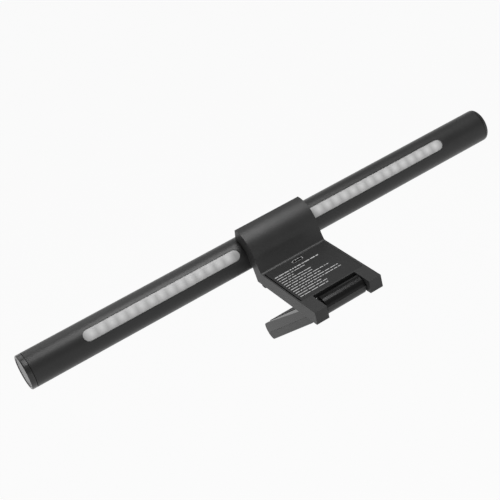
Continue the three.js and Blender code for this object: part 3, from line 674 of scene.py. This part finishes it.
CAP_SEAM = 0.3
CAP_EDGE = 0.9
CAP_LIP = 0.25
CAP_BREAK = 0.12
CAP_SPIGOT = 11.0
CAP_SPIGOT_BORE = 9.2
CAP_SPIGOT_LENGTH = 3


def cap_rim(side, end_x, inner, floor_x):
    """Profile of a cap from the seam beside the tube, over its rounded edge, into its recess."""
    seam = (tube_high.x if side > 0 else tube_low.x) + side * CAP_SEAM
    back = seam - side * CAP_SPIGOT_LENGTH
    points = [(CAP_SPIGOT, back), (CAP_SPIGOT, seam), (BAR_RADIUS - CAP_BREAK, seam),
              (BAR_RADIUS, seam + side * CAP_BREAK)]
    centre = (BAR_RADIUS - CAP_EDGE, abs(end_x) - CAP_EDGE)
    points += [(r, side * x) for r, x in arc(centre, CAP_EDGE, 0, 90, 10)]
    if inner:
        lip = (inner + CAP_LIP, abs(end_x) - CAP_LIP)
        points += [(r, side * x) for r, x in arc(lip, CAP_LIP, 90, 180, 5)]
        points += [(inner, floor_x), (CAP_SPIGOT_BORE, floor_x), (CAP_SPIGOT_BORE, back)]
    else:
        points += [(0, end_x), (0, back)]
    return points


def make_left_cap():
    profile = cap_rim(1, LEFT_END_X, DISC_RADIUS + 0.12, disc_low.x - 0.3)
    cap = smooth(turned("left_cap_ring", profile), 40)
    return finish_piece(cap, "light_bar", "cap_plastic", ["end_cap_left"])


SCREW_PORTS = (6.6, -6.6)
SCREW_PLANE = -34.9
SCREW_WELL = 2.2


def port_place(port):
    """Where a screw of the right cap sits, as (y, z)."""
    turn = math.radians(SCREW_PLANE)
    return port * math.cos(turn), port * math.sin(turn)


def make_right_cap():
    cap = turned("right_cap", cap_rim(-1, RIGHT_END_X, 0, 0))
    holes = []
    for port in SCREW_PORTS:
        hole = arc(port_place(port), SCREW_WELL, 0, 350, 35)
        holes.append(along_x("hole", hole, RIGHT_END_X - 1, RIGHT_END_X + 1.6))
    cut(cap, *holes)
    soften(cap, 0.12, 2, 50, 0.3)
    return finish_piece(cap, "light_bar", "cap_plastic", ["end_cap_right"])


INDICATOR_HOLE = 0.95
INDICATOR_RADIUS = 0.86
INDICATOR_EDGE = 0.3
INDICATOR_BACK = -0.9


def indicator_middle():
    low, high = millimetres("indicator_lens")
    return (low.y + high.y) / 2, (low.z + high.z) / 2


def make_touch_disc():
    """The inset key, with a shallow dish in its face and a hole for the indicator."""
    edge = 0.3
    dish = DISC_FACE - 0.06
    profile = [(0, disc_low.x), (DISC_RADIUS, disc_low.x)]
    profile += arc((DISC_RADIUS - edge, DISC_FACE - edge), edge, 0, 90, 6)
    profile += [(DISC_RADIUS - 1.2, DISC_FACE), (DISC_RADIUS - 1.35, dish), (0, dish)]
    disc = turned("touch_key", profile, 160)
    hole = arc(indicator_middle(), INDICATOR_HOLE, 0, 350, 35)
    cut(disc, along_x("hole", hole, DISC_FACE - 1, DISC_FACE + 1))
    smooth(disc, 35)
    return finish_piece(disc, "light_bar", "grey_plastic", ["touch_disc"])


def make_indicator():
    y, z = indicator_middle()
    rim = (INDICATOR_RADIUS - INDICATOR_EDGE, -0.25)
    profile = [(0, INDICATOR_BACK), (INDICATOR_RADIUS, INDICATOR_BACK)]
    profile += arc(rim, INDICATOR_EDGE, 0, 90, 5) + [(0, 0.1)]
    place = TO_BAR @ Matrix.Translation((DISC_FACE - 0.16, y, z))
    window = smooth(turned("touch_key_indicator", profile, 40, place), 35)
    dark = satin_paint("indicator_smoke", 0.012, 0.12, bump=0.02)
    return finish_piece(window, "light_bar", "milky_lens", ["indicator_lens"], dark)


def make_screw(name, node, place, radius, depth, body):
    """A screw head with a rounded rim and a cross recess. It is drawn facing +Z."""
    edge = radius * 0.3
    profile = [(0, -depth), (radius, -depth)]
    profile += arc((radius - edge, -edge), edge, 0, 90, 6)
    profile += [(0, 0.04)]
    head = turned(name, profile, 48, place @ Matrix.Rotation(math.radians(-90), 4, "Y"))
    width, reach = radius * 0.16, radius * 0.58
    bars = []
    for along, across in ((reach, width), (width, reach)):
        outline = rounded_rectangle(-along, along, -across, across, width * 0.6, 4)
        bars.append(upward("recess", outline, -depth * 0.6, 1, place))
    cut(head, *bars)
    soften(head, 0.05, 1, 40, 0.3)
    return finish_piece(head, body, "steel", [node])


def make_right_screws():
    turn = Matrix.Rotation(math.radians(-90), 4, "Y")
    for index, port in enumerate(SCREW_PORTS, 1):
        y, z = port_place(port)
        place = TO_BAR @ Matrix.Translation((RIGHT_END_X + 0.55, y, z)) @ turn
        make_screw(f"right_cap_screw_{index}", f"cap_screw_right_{index}", place, 1.95, 1.0,
                   "light_bar")


# ---------------------------------------------------------------- bracket


def on_hook(radius, degrees):
    """A point about the hook's centre, as (y, z)."""
    turn = math.radians(degrees)
    return HOOK_CENTRE[0] + radius * math.cos(turn), HOOK_CENTRE[1] + radius * math.sin(turn)


def bracket_outline():
    """The bracket from its side: over the hook, along the plate, and back under the hook."""
    hood_end = on_hook(HOOK_RADIUS, HOOK_END)
    points = arc(HOOK_CENTRE, HOOK_RADIUS, HOOK_START, HOOK_END, HOOK_STEPS)
    points += curve(hood_end, WEB_BEND, WEB_FOOT, 16)[1:]
    points += curve(WEB_FOOT, PLATE_BEND, PLATE_START, 8)[1:]
    points += [(PLATE_END, PLATE_TOP)]
    points += curve((PLATE_END, PLATE_BOTTOM + 1.4), (PLATE_END, PLATE_BOTTOM),
                    (PLATE_END - 1.4, PLATE_BOTTOM), 8)
    points += [(18, PLATE_BOTTOM), (15.9, -4.1), (12.97, -1.8)]
    points += arc((0, 0), HOOK_CLEARANCE, -7.4, 90.4, HOOK_STEPS)
    points += [HOOK_MOUTH]
    return points


def bracket_hollow():
    """The room inside the hook, the web and the plate, open below."""
    inner = HOOK_RADIUS - SIDE_WALL
    top = PLATE_TOP - SIDE_WALL
    below = PLATE_BOTTOM - 5
    points = arc(HOOK_CENTRE, inner, 88, HOOK_END, 30)
    points += curve(on_hook(inner, HOOK_END), (22, 0.2), (24.4, top), 10)[1:]
    points += [(71.5, top), (71.5, -8.1), (62.2, PLATE_BOTTOM), (62.2, below), (21.1, below),
               (21.1, PLATE_BOTTOM), (18.4, -4.2), (15.6, 0.2), (10.5, 0.2), (2, 9), (2.3, 15.5)]
    return points


def port_outline(grow):
    """The USB-C opening from above, larger all round by grow."""
    middle = (socket_low.y + socket_high.y) / 2
    half_length = (socket_high.x - socket_low.x) / 2 + grow
    width = socket_high.y - socket_low.y + 2 * grow
    return [(x, y + middle) for x, y in stadium(-half_length, half_length, width, 12)]


def make_bracket_shell():
    shell = along_x("bracket_body", bracket_outline(), -HALF_WIDTH, HALF_WIDTH)
    inside = HALF_WIDTH - SIDE_WALL
    run = (NOTCH_STEP - PLATE_BOTTOM) / math.tan(math.radians(LEG_ANGLE))
    slope_end = NOTCH_FRONT - run
    below = PLATE_BOTTOM - 5
    beyond = PLATE_END + 5
    notch = [(NOTCH_FRONT, 5), (NOTCH_FRONT, NOTCH_STEP), (slope_end, PLATE_BOTTOM),
             (slope_end, below), (beyond, below), (beyond, 5)]
    seat = rounded_rectangle(panel_low.x - PANEL_END_GAP, panel_high.x + PANEL_SIDE_GAP,
                             panel_low.y - PANEL_END_GAP, panel_high.y + PANEL_END_GAP, 0.9)
    cut(shell,
        along_x("hollow", bracket_hollow(), -inside, inside),
        along_x("notch", notch, -NOTCH_HALF_WIDTH, NOTCH_HALF_WIDTH),
        upward("seat", seat, PLATE_TOP - PANEL_SEAT_DEPTH, PLATE_TOP + 5),
        upward("port", port_outline(0.6), PLATE_TOP - 3, PLATE_TOP))
    soften(shell, 0.32, 3, 24, 0.2)
    return finish_piece(shell, "bracket", "dark_anodised", ["bracket_shell"])


def make_top_panel():
    outline = rounded_rectangle(panel_low.x, panel_high.x, panel_low.y, panel_high.y, 0.8)
    panel = upward("top_cover", outline, panel_low.z, panel_high.z)
    cut(panel, upward("port", port_outline(0.18), -8, 0))
    soften(panel, 0.16, 2, 30, 0.2)
    return finish_piece(panel, "bracket", "panel_paint", ["top_panel"])


MARK_ROW_LENGTHS = (36.5, 23.5, 12.0, 25.5, 23.5, 35.0, 26.5, 39.0, 39.5, 22.0, 24.0, 23.0)
MARK_FIRST_Y = 38.3
MARK_PITCH = 2.84
MARK_LEFT_X = 23.3
MARK_THICKNESS = 0.02
MARK_HEIGHT = 0.72
MARK_FIRST_HEIGHT = 1.1
MARK_DASHES = (1.2, 6.0)
MARK_SPACES = (0.45, 0.8)


def make_printed_marks():
    """Rows of plain dashes where the real plate carries small print."""
    dice = random.Random(7)
    ink_low, ink_high = panel_high.z - 0.01, panel_high.z + MARK_THICKNESS
    bars = []
    for row, length in enumerate(MARK_ROW_LENGTHS):
        half = (MARK_HEIGHT if row else MARK_FIRST_HEIGHT) / 2
        y = MARK_FIRST_Y + row * MARK_PITCH
        x = MARK_LEFT_X
        while x > MARK_LEFT_X - length + 1:
            dash = min(dice.uniform(*MARK_DASHES), x - MARK_LEFT_X + length)
            outline = rounded_rectangle(x - dash, x, y - half, y + half, half * 0.6, 3)
            bars.append(upward("dash", outline, ink_low, ink_high))
            x -= dash + dice.uniform(*MARK_SPACES)
    marks = joined_mesh("printed_marks", bars)
    return finish_piece(marks, "bracket", "panel_paint", [], printed("mark_ink"))


NECK_HALF_LENGTH = 12
NECK_HALF_WIDTH = 3


def make_liner():
    """The lining of the hook, with the neck that passes into the tube."""
    low, high = millimetres("hook_liner")
    liner = along_x("liner_face", sector(HOOK_CLEARANCE, 14.9, 2.6, 78), low.x, high.x)
    outline = rounded_rectangle(-NECK_HALF_LENGTH, NECK_HALF_LENGTH,
                                -NECK_HALF_WIDTH, NECK_HALF_WIDTH, 1)
    join(liner, outward("neck", outline, BORE_RADIUS + 0.1, 14.5, BACK_LIGHT_ANGLE))
    soften(liner, 0.2, 2, 30, 0.2)
    return finish_piece(liner, "bracket", "dark_plastic", ["hook_liner"])


SOCKET_WALL = 0.42
SOCKET_FLOOR = 0.8
TONGUE_HALF_LENGTH = 3.3
TONGUE_HALF_WIDTH = 0.35
CONTACTS_A_SIDE = 12
CONTACT_PITCH = 0.5


def make_socket():
    """A USB-C socket: a folded steel shell with a rolled mouth, its black tongue, and a near-black fill inside as
    painted shade.
    """
    z0, z1 = socket_low.z, socket_high.z
    shell = upward("socket_shell", port_outline(0), z0, z1)
    cut(shell, upward("mouth", port_outline(-SOCKET_WALL), z0 + SOCKET_FLOOR, z1 + 1))
    soften(shell, 0.1, 2, 30, 0.2)
    finish_piece(shell, "bracket", "socket_steel", ["usb_socket"])

    dark = moulded("socket_black_plastic_and_shade", 0.004, 0.7, bump=0.1, specular=0.1)
    middle = (socket_low.y + socket_high.y) / 2
    outline = rounded_rectangle(-TONGUE_HALF_LENGTH, TONGUE_HALF_LENGTH,
                                middle - TONGUE_HALF_WIDTH, middle + TONGUE_HALF_WIDTH, 0.3)
    tongue = upward("socket_tongue", outline, z0 + 0.5, z1 - 0.9)
    soften(tongue, 0.1, 2, 30, 0.2)
    finish_piece(tongue, "bracket", "dark_plastic", [], dark)
    # Painted shade: a near-black block fills the socket to 1.3 mm under its opening, standing in for the shade
    # deep inside the real socket. The tongue shares its black material.
    mouth = upward("socket_shade_fill", port_outline(-SOCKET_WALL - 0.01), z0 + SOCKET_FLOOR, z1 - 1.3)
    return finish_piece(mouth, "bracket", "dark_plastic", [], dark)


def make_socket_contacts():
    """Two rows of gold contacts, one on each side of the tongue."""
    top = socket_high.z
    middle = (socket_low.y + socket_high.y) / 2
    contacts = []
    for side in (-1, 1):
        y = middle + side * (TONGUE_HALF_WIDTH + 0.01)
        for index in range(CONTACTS_A_SIDE):
            x = (index - (CONTACTS_A_SIDE - 1) / 2) * CONTACT_PITCH
            pad = rounded_rectangle(x - 0.13, x + 0.13, y - 0.03, y + 0.03, 0.02, 2)
            contacts.append(upward("contact", pad, top - 3.4, top - 1.25))
    rows = joined_mesh("socket_contacts", contacts)
    return finish_piece(rows, "bracket", "socket_steel", [], gold("contact_gold"))


RIB_PITCH = 2.6
RIB_DEPTH = 0.28
RIB_HALF_WIDTH = 0.4
RIB_MARGIN = 2.5
PAD_CORNER = 2


def ribbed_pad(name, x0, x1, y0, y1, z_face, z_back, place, side):
    """A soft pad with rounded edges and shallow grip grooves across its face."""
    low, high = sorted((z_face, z_back))
    pad = upward(name, rounded_rectangle(x0, x1, y0, y1, PAD_CORNER), low, high, place)
    count = int((y1 - y0 - 2 * RIB_MARGIN) / RIB_PITCH)
    middle = (y0 + y1) / 2
    low, high = sorted((z_face - side * RIB_DEPTH, z_face + side * 1.0))
    grooves = []
    for index in range(count):
        y = middle + (index - (count - 1) / 2) * RIB_PITCH
        outline = rounded_rectangle(x0 + RIB_MARGIN, x1 - RIB_MARGIN,
                                    y - RIB_HALF_WIDTH, y + RIB_HALF_WIDTH, 0.38, 4)
        grooves.append(upward("groove", outline, low, high, place))
    cut(pad, joined_mesh("grooves", grooves))
    return soften(pad, 0.18, 2, 30, 0.2)


def make_rest_pad():
    pad = ribbed_pad("rest_pad_face", pad_low.x, pad_high.x, pad_low.y, pad_high.y, pad_low.z,
                     pad_high.z, TO_BAR, -1)
    return finish_piece(pad, "bracket", "silicone", ["rest_pad"])


LIP_OUTER_ROUND = 1.3
LIP_INNER_ROUND = 0.9


def make_front_lip():
    top = PLATE_BOTTOM - 0.05
    outer, inner = LIP_OUTER_ROUND, LIP_INNER_ROUND
    outline = arc((lip_low.y + outer, lip_low.z + outer), outer, 180, 270, 8)
    outline += arc((lip_high.y - inner, lip_low.z + inner), inner, 270, 360, 8)
    outline += [(lip_high.y, top), (lip_low.y, top)]
    lip = along_x("lip_strip", outline, lip_low.x, lip_high.x)
    soften(lip, 0.35, 4, 40, 0.2)
    return finish_piece(lip, "bracket", "silicone", ["front_lip"])


COVER_GAP = 0.15
BASE_SCREWS = (1, 2, 3, 4)


def base_screw_middle(index):
    low, high = millimetres(f"base_screw_{index}")
    return (low.x + high.x) / 2, (low.y + high.y) / 2


def make_base_cover():
    """The cover under the plate, with a seat for the pad and a well for each screw."""
    low, high = millimetres("base_cover")
    gap = COVER_GAP
    outline = rounded_rectangle(low.x + gap, high.x - gap, low.y + gap, high.y - gap, 1)
    cover = upward("underside_cover", outline, low.z, high.z)
    seat = rounded_rectangle(pad_low.x - gap, pad_high.x + gap,
                             pad_low.y - gap, pad_high.y + gap, PAD_CORNER + 0.1)
    cutters = [upward("seat", seat, low.z - 2, low.z + 0.9)]
    for index in BASE_SCREWS:
        well = arc(base_screw_middle(index), 1.95, 0, 350, 35)
        cutters.append(upward("well", well, low.z - 2, low.z + 1.0))
    cut(cover, *cutters)
    soften(cover, 0.15, 2, 30, 0.2)
    return finish_piece(cover, "bracket", "dark_plastic", ["base_cover"])


def make_base_screws():
    flip = Matrix.Rotation(math.radians(180), 4, "X")
    head_z = millimetres("base_cover")[0].z + 0.18
    for index in BASE_SCREWS:
        x, y = base_screw_middle(index)
        place = TO_BAR @ Matrix.Translation((x, y, head_z)) @ flip
        make_screw(f"underside_screw_{index}", f"base_screw_{index}", place, 1.6, 0.8, "bracket")


# ---------------------------------------------------------------- leg


NOSE_CORNER = 1.6


def leg_outline():
    """The leg from its side, round the barrel and then round the nose."""
    y, z = NOSE
    start = math.degrees(math.asin((LEG_INNER - z) / NOSE_RADIUS))
    end = math.degrees(math.asin((NOSE_OUTER - z) / NOSE_RADIUS))
    inner_corner = (y - NOSE_RADIUS * math.cos(math.radians(start)), LEG_INNER)
    outer_corner = (y - NOSE_RADIUS * math.cos(math.radians(end)), NOSE_OUTER)
    nose = arc(NOSE, NOSE_RADIUS, 180 - start + NOSE_EASE, 180 - end - NOSE_EASE, 24)
    barrel_end = 180 - math.degrees(math.asin(LEG_INNER / BARREL_RADIUS))
    points = arc((0, 0), BARREL_RADIUS, -93, barrel_end, 80)
    points += curve((inner_corner[0] + NOSE_CORNER, LEG_INNER), inner_corner, nose[0], 7)
    points += nose[1:]
    cover_start = (outer_corner[0] + NOSE_CORNER, NOSE_OUTER + 0.01)
    points += curve(nose[-1], outer_corner, cover_start, 7)[1:]
    points += [(LEG_TAPER, LEG_OUTER)]
    return points


def hull(name, points, place):
    """The convex solid round the points."""
    bm = bmesh.new()
    for point in points:
        bm.verts.new(point)
    bmesh.ops.convex_hull(bm, input=bm.verts)
    return to_object(name, bm, place)


CHAMFER_ENDS = ((CHAMFER_START, CHAMFER_WIDTH), (CHAMFER_END, CHAMFER_END_WIDTH))


def leg_chamfer(side):
    """The bevel along an inner edge of the leg, wide by the hinge and gone at the nose."""
    points = []
    for y, width in CHAMFER_ENDS:
        for across, up in ((-1.0, -width - 1.0), (-1.0, 1.0), (width + 1.0, 1.0)):
            points.append((side * (LEG_HALF_WIDTH - across), y, LEG_INNER + up))
    return hull("chamfer", points, TO_LEG)


def make_bevel_trim(side):
    """The polished face of the bevel, a skin on the leg."""
    points = []
    for y, width in CHAMFER_ENDS:
        for skin in (-0.05, 0.02):
            for across, up in ((width, 0.0), (0.0, -width)):
                points.append((side * (LEG_HALF_WIDTH - across + skin), y, LEG_INNER + up + skin))
    name = "leg_bevel_left" if side > 0 else "leg_bevel_right"
    trim = hull(name, points, TO_LEG)
    polish = satin_paint(name + "_polish", 0.03, 0.16, bump=0.01, specular=1.0)
    return finish_piece(trim, "leg", "leg_plastic", [], polish)


LEG_BEYOND = 20
LEG_KEEP = [(-30, -130), (30, -130), (30, LEG_BEYOND), (-30, LEG_BEYOND)]
LEG_CAVITY = [(-14.5, -111), (14.5, -111), (14.5, -9.5), (-14.5, -9.5)]


def leg_half(name, z0, z1, cavity_z0, cavity_z1, extra=()):
    """The leg between two heights, hollow, with the barrel cut back to show the pin's collar."""
    body = along_x(name, leg_outline(), -LEG_HALF_WIDTH, LEG_HALF_WIDTH, TO_LEG)
    soften(body, 0.4, 4, 26, 0.2)
    body.modifiers.clear()
    combine(body, [upward("keep", LEG_KEEP, z0, z1, TO_LEG)], "INTERSECT")
    cavity = upward("cavity", LEG_CAVITY, cavity_z0, cavity_z1, TO_LEG)
    collar = along_x("collar", sector(COLLAR_RADIUS, BARREL_RADIUS + 3, -60, 150), BARREL_END_X,
                     LEG_HALF_WIDTH + 1, TO_LEG)
    cut(body, cavity, collar, *extra)
    return soften(body, 0.07, 1, 40, 0.2)


def make_leg_body():
    seat = rounded_rectangle(-PAD_HALF_WIDTH - 0.1, PAD_HALF_WIDTH + 0.1,
                             PAD_END - 0.1, PAD_START + 0.1, PAD_CORNER + 0.1)
    pad_seat = upward("seat", seat, LEG_INNER - 0.9, LEG_BEYOND, TO_LEG)
    body = leg_half("leg_body", LEG_PARTING + LEG_SEAM, LEG_BEYOND, -LEG_BEYOND, LEG_INNER - 2,
                    [pad_seat, leg_chamfer(1), leg_chamfer(-1)])
    return finish_piece(body, "leg", "leg_plastic", ["leg_inner_shell"])


def make_leg_cover():
    cover = leg_half("leg_cover", -LEG_BEYOND, LEG_PARTING - LEG_SEAM, LEG_OUTER + 1.8, LEG_BEYOND)
    return finish_piece(cover, "leg", "leg_cover_paint", ["leg_outer_shell"])


def make_leg_pad():
    pad = ribbed_pad("leg_pad_face", -PAD_HALF_WIDTH, PAD_HALF_WIDTH, PAD_END, PAD_START,
                     LEG_INNER + PAD_PROUD, LEG_INNER - PAD_DEPTH, TO_LEG, 1)
    return finish_piece(pad, "leg", "silicone", ["leg_pad"])


# ---------------------------------------------------------------- CAD nodes that stay


def dress_kept_nodes():
    """Every CAD node gets its slot's material, for those that no piece replaces."""
    slots = {entry["node"]: entry["material_slot"] for entry in frame["record"]["subparts"]}
    for name, node in frame["nodes"].items():
        node.data.materials.clear()
        node.data.materials.append(MATERIALS[slots[name]])


# ---------------------------------------------------------------- floor, light and camera

FLOOR_DROP = 0.9
FLOOR_SIZE = 60.0
CAMERA_PLACE = Vector((292.15, 613.68, 425.32))
CAMERA_FORWARD = Vector((-0.3440, -0.7713, -0.5354))
CAMERA_UP = Vector((-0.4504, -0.3648, 0.8149))
CAMERA_LENS = 81.23
CAMERA_SENSOR = 36


def make_floor():
    level = cad_box[0][2] - FLOOR_DROP
    bm = bmesh.new()
    bmesh.ops.create_grid(bm, x_segments=8, y_segments=8, size=FLOOR_SIZE)
    floor = to_object("floor", bm, Matrix.Translation((0, 0, level)))
    floor.data.materials.append(floor_paint("floor_paint"))


def make_light(name, place, size, power):
    """A soft box in metres and watts, aimed at the frame's origin."""
    data = bpy.data.lights.new(name, "AREA")
    data.shape = "RECTANGLE"
    data.size, data.size_y = size
    data.energy = power
    light = bpy.data.objects.new(name, data)
    light.location = place
    light.rotation_euler = (Vector() - Vector(place)).to_track_quat("-Z", "Y").to_euler()
    bpy.context.scene.collection.objects.link(light)


HORIZON_FLAT = 0.1
HORIZON_HEIGHT = 0.42
HORIZON_GLOW = 0.74
ROOM_GLOW = 0.2


def make_world():
    """A dim room with a pale band along its horizon, as bright there as the floor."""
    world = bpy.data.worlds.new("studio")
    bpy.context.scene.world = world
    world.use_nodes = True
    nodes, links = world.node_tree.nodes, world.node_tree.links
    background = nodes["Background"]
    place = nodes.new("ShaderNodeTexCoord")
    split = nodes.new("ShaderNodeSeparateXYZ")
    links.new(place.outputs["Generated"], split.inputs[0])
    height = nodes.new("ShaderNodeMath")
    height.operation = "ABSOLUTE"
    links.new(split.outputs["Z"], height.inputs[0])
    band = nodes.new("ShaderNodeMapRange")
    links.new(height.outputs[0], band.inputs["Value"])
    for key, number in zip(("From Min", "From Max", "To Min", "To Max"),
                           (HORIZON_FLAT, HORIZON_HEIGHT, ROOM_GLOW + HORIZON_GLOW, ROOM_GLOW)):
        band.inputs[key].default_value = number
    links.new(band.outputs["Result"], background.inputs["Strength"])
    background.inputs["Color"].default_value = (1, 1, 1, 1)


def make_camera():
    data = bpy.data.cameras.new("camera")
    data.lens = CAMERA_LENS
    data.sensor_width = CAMERA_SENSOR
    camera = bpy.data.objects.new("camera", data)
    forward = CAMERA_FORWARD.normalized()
    right = forward.cross(CAMERA_UP).normalized()
    up = right.cross(forward)
    turn = Matrix((right, up, -forward)).transposed().to_4x4()
    camera.matrix_world = Matrix.Translation(BAR_AXIS + CAMERA_PLACE * MM) @ turn
    bpy.context.scene.collection.objects.link(camera)
    bpy.context.scene.camera = camera


make_camera()
make_floor()
make_world()
make_light("overhead_softbox", (-0.27, 0.0, 1.3), (0.95, 0.45), 15)
make_light("front_softbox", (0.3, -1.1, 1.1), (1.5, 0.9), 6.8)
bpy.context.scene.view_settings.view_transform = "Standard"

dress_kept_nodes()
make_tube()
make_back_lens("rear_diffuser_left", 1)
make_back_lens("rear_diffuser_right", -1)
make_front_lens()
make_left_cap()
make_right_cap()
make_touch_disc()
make_indicator()
make_right_screws()
make_bracket_shell()
make_top_panel()
make_printed_marks()
make_liner()
make_socket()
make_socket_contacts()
make_rest_pad()
make_front_lip()
make_base_cover()
make_base_screws()
make_leg_body()
make_leg_cover()
make_leg_pad()
make_bevel_trim(1)
make_bevel_trim(-1)

bpy.context.view_layer.update()
